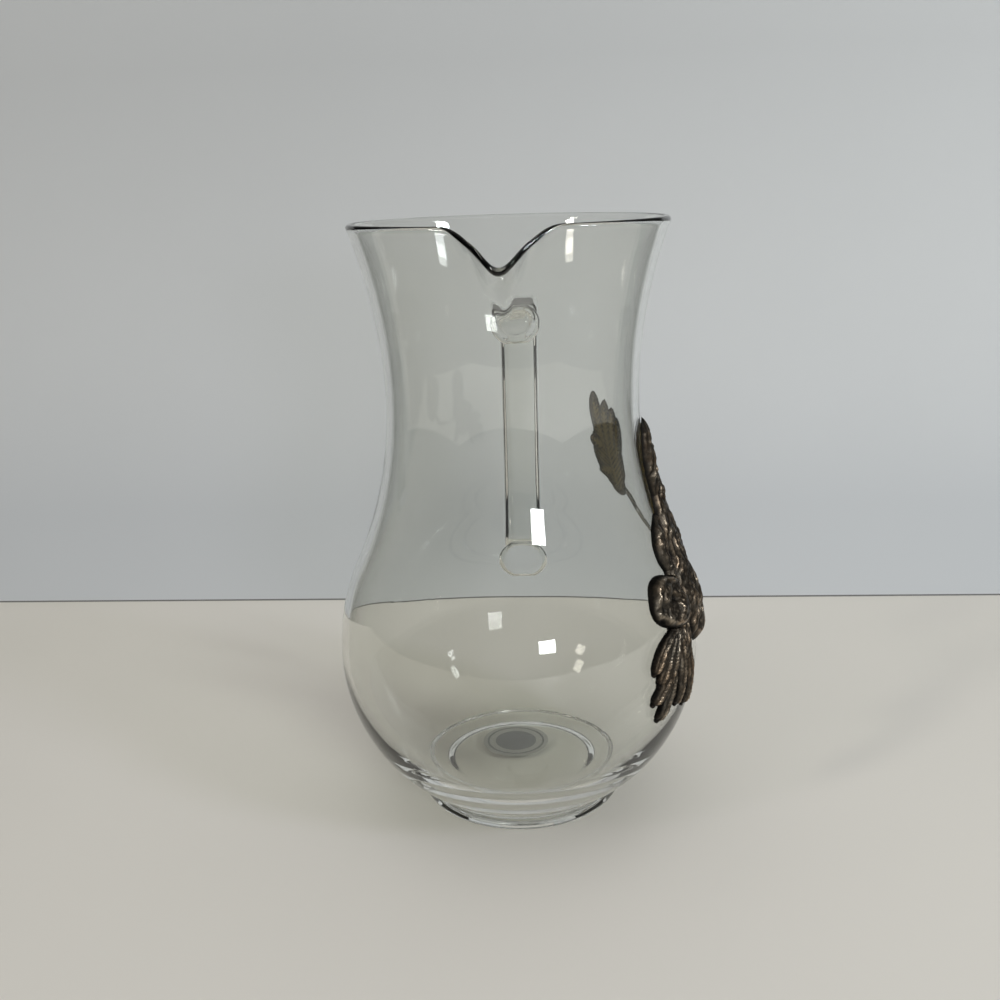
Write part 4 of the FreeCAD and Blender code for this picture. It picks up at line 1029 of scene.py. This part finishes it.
def plain_shader(tree, tones, one_sided=False, foot=1.0):
    """A matt surface in a colour that varies slightly, with painted light that makes it paler at the foot than at the
    top by a factor.

    One that is one-sided can't be seen from its back.
    """
    place = add_node(tree, "ShaderNodeTexCoord").outputs["Generated"]
    level = add_node(tree, "ShaderNodeSeparateXYZ", {"Vector": place}).outputs["Z"]
    painted_light = colour_ramp(tree, level, ((PAINTED_LIGHT_START, (1.0,) * 3), (PAINTED_LIGHT_END, (1 / foot,) * 3)))
    colour = product_of(tree, varied_colour(tree, STAGE_SCALE, tones), painted_light)
    surface = principled(tree, {"Roughness": 0.6, "Base Color": colour})
    if one_sided:
        return clear_where(tree, add_node(tree, "ShaderNodeNewGeometry").outputs["Backfacing"], surface)
    return surface


def upright(y, left, right, low, top):
    """Corners of an upright plane that faces the camera."""
    return [(left, y, low), (right, y, low), (right, y, top), (left, y, top)]


def stage_plane(name, corners, material):
    """A plane of the stage, which shades nothing else."""
    plane = new_piece(name, corners, [(0, 1, 2, 3)], [material])
    plane.visible_shadow = False


stage_plane("table", [(-TABLE_HALF, -TABLE_HALF, TABLE_LOW), (TABLE_HALF, -TABLE_HALF, TABLE_LOW),
                      (TABLE_HALF, TABLE_BACK, TABLE_LOW), (-TABLE_HALF, TABLE_BACK, TABLE_LOW)],
            new_material("table_top", plain_shader, TABLE_TONES))
stage_plane("wall", upright(WALL_Y, WALL_LEFT, WALL_RIGHT, WALL_LOW, WALL_TOP),
            new_material("wall_paint", plain_shader, WALL_TONES, True, WALL_FOOT))
# A thin dark strip at the table's far edge: painted shadow where the table meets the wall.
stage_plane("gap_shadow_strip", upright(TABLE_BACK, -TABLE_HALF, TABLE_HALF, TABLE_LOW, GAP_SHADOW_TOP),
            new_material("painted_gap_shadow", plain_shader, GAP_SHADOW_TONES, True))


ROOM_TONES = ((0.05, (0.16, 0.164, 0.168)), (0.30, (0.12, 0.122, 0.124)), (0.70, (0.22, 0.22, 0.215)))
SIDE_TONES = ((0.30, (1.0, 1.0, 1.0)), (0.70, (0.15, 0.15, 0.15)))


def room():
    """A dim world that is darkest a little above the horizon, paler overhead and darker still to the sides."""
    world = bpy.data.worlds.new("room")
    world.use_nodes = True
    tree = world.node_tree
    way = add_node(tree, "ShaderNodeTexCoord").outputs["Generated"]
    parts = add_node(tree, "ShaderNodeSeparateXYZ", {"Vector": way}).outputs
    sideways = add_node(tree, "ShaderNodeMath", {0: parts["X"]}, operation="ABSOLUTE").outputs[0]
    colour = product_of(tree, colour_ramp(tree, parts["Z"], ROOM_TONES), colour_ramp(tree, sideways, SIDE_TONES))
    tree.links.new(colour, tree.nodes["Background"].inputs["Color"])
    return world


LAMP_DISTANCE = 1.6


def window(name, azimuth, elevation, size, energy, colour):
    """A lamp that faces the pitcher from a direction."""
    lamp = bpy.data.lights.new(name, "AREA")
    lamp.shape = "RECTANGLE"
    lamp.size, lamp.size_y = size
    lamp.energy = energy
    lamp.color = colour
    made = bpy.data.objects.new(name, lamp)
    aim = Vector((0, 0, HEIGHT / 2 * MM))
    tilt = math.radians(elevation)
    away = Vector(in_space(azimuth, math.cos(tilt), math.sin(tilt))) * LAMP_DISTANCE
    made.location = aim + away
    made.rotation_mode = "QUATERNION"
    made.rotation_quaternion = (-away).to_track_quat("-Z", "Y")
    bpy.context.scene.collection.objects.link(made)
    return made


bpy.context.scene.world = room()
window("window_front", azimuth=20, elevation=10, size=(0.28, 0.18), energy=5.0, colour=(0.95, 0.98, 1.0))
window("window_right", azimuth=62, elevation=31, size=(0.28, 0.22), energy=12.5, colour=(0.93, 0.97, 1.0))
window("window_left", azimuth=-54, elevation=31, size=(0.18, 0.22), energy=5.0, colour=(1.0, 0.95, 0.88))
ceiling = window("ceiling", azimuth=0, elevation=88, size=(1.6, 1.6), energy=8.8, colour=(1.0, 0.99, 0.97))
ceiling.visible_glossy = ceiling.visible_transmission = False

cycles = bpy.context.scene.cycles
cycles.max_bounces = cycles.transmission_bounces = cycles.transparent_max_bounces = 32
cycles.glossy_bounces = 16
cycles.caustics_reflective = cycles.caustics_refractive = False


# Camera

CAMERA_PLACE = (0.01881, -0.41419, 0.25402)
CAMERA_RIGHT = (0.998264, 0.051366, -0.028803)
CAMERA_UP = (0.012584, 0.291738, 0.956415)
CAMERA_LENS_SHARE = 1.0517
SENSOR_WIDTH = 36.0

camera_data = bpy.data.cameras.new("camera")
camera_data.sensor_width = SENSOR_WIDTH
camera_data.lens = CAMERA_LENS_SHARE * SENSOR_WIDTH
camera = bpy.data.objects.new("camera", camera_data)
bpy.context.scene.collection.objects.link(camera)
right, up = Vector(CAMERA_RIGHT), Vector(CAMERA_UP)
turn = Matrix((right, up, right.cross(up))).transposed().to_4x4()
camera.matrix_world = Matrix.Translation(CAMERA_PLACE) @ turn
bpy.context.scene.camera = camera
bpy.context.scene.view_settings.view_transform = "Standard"
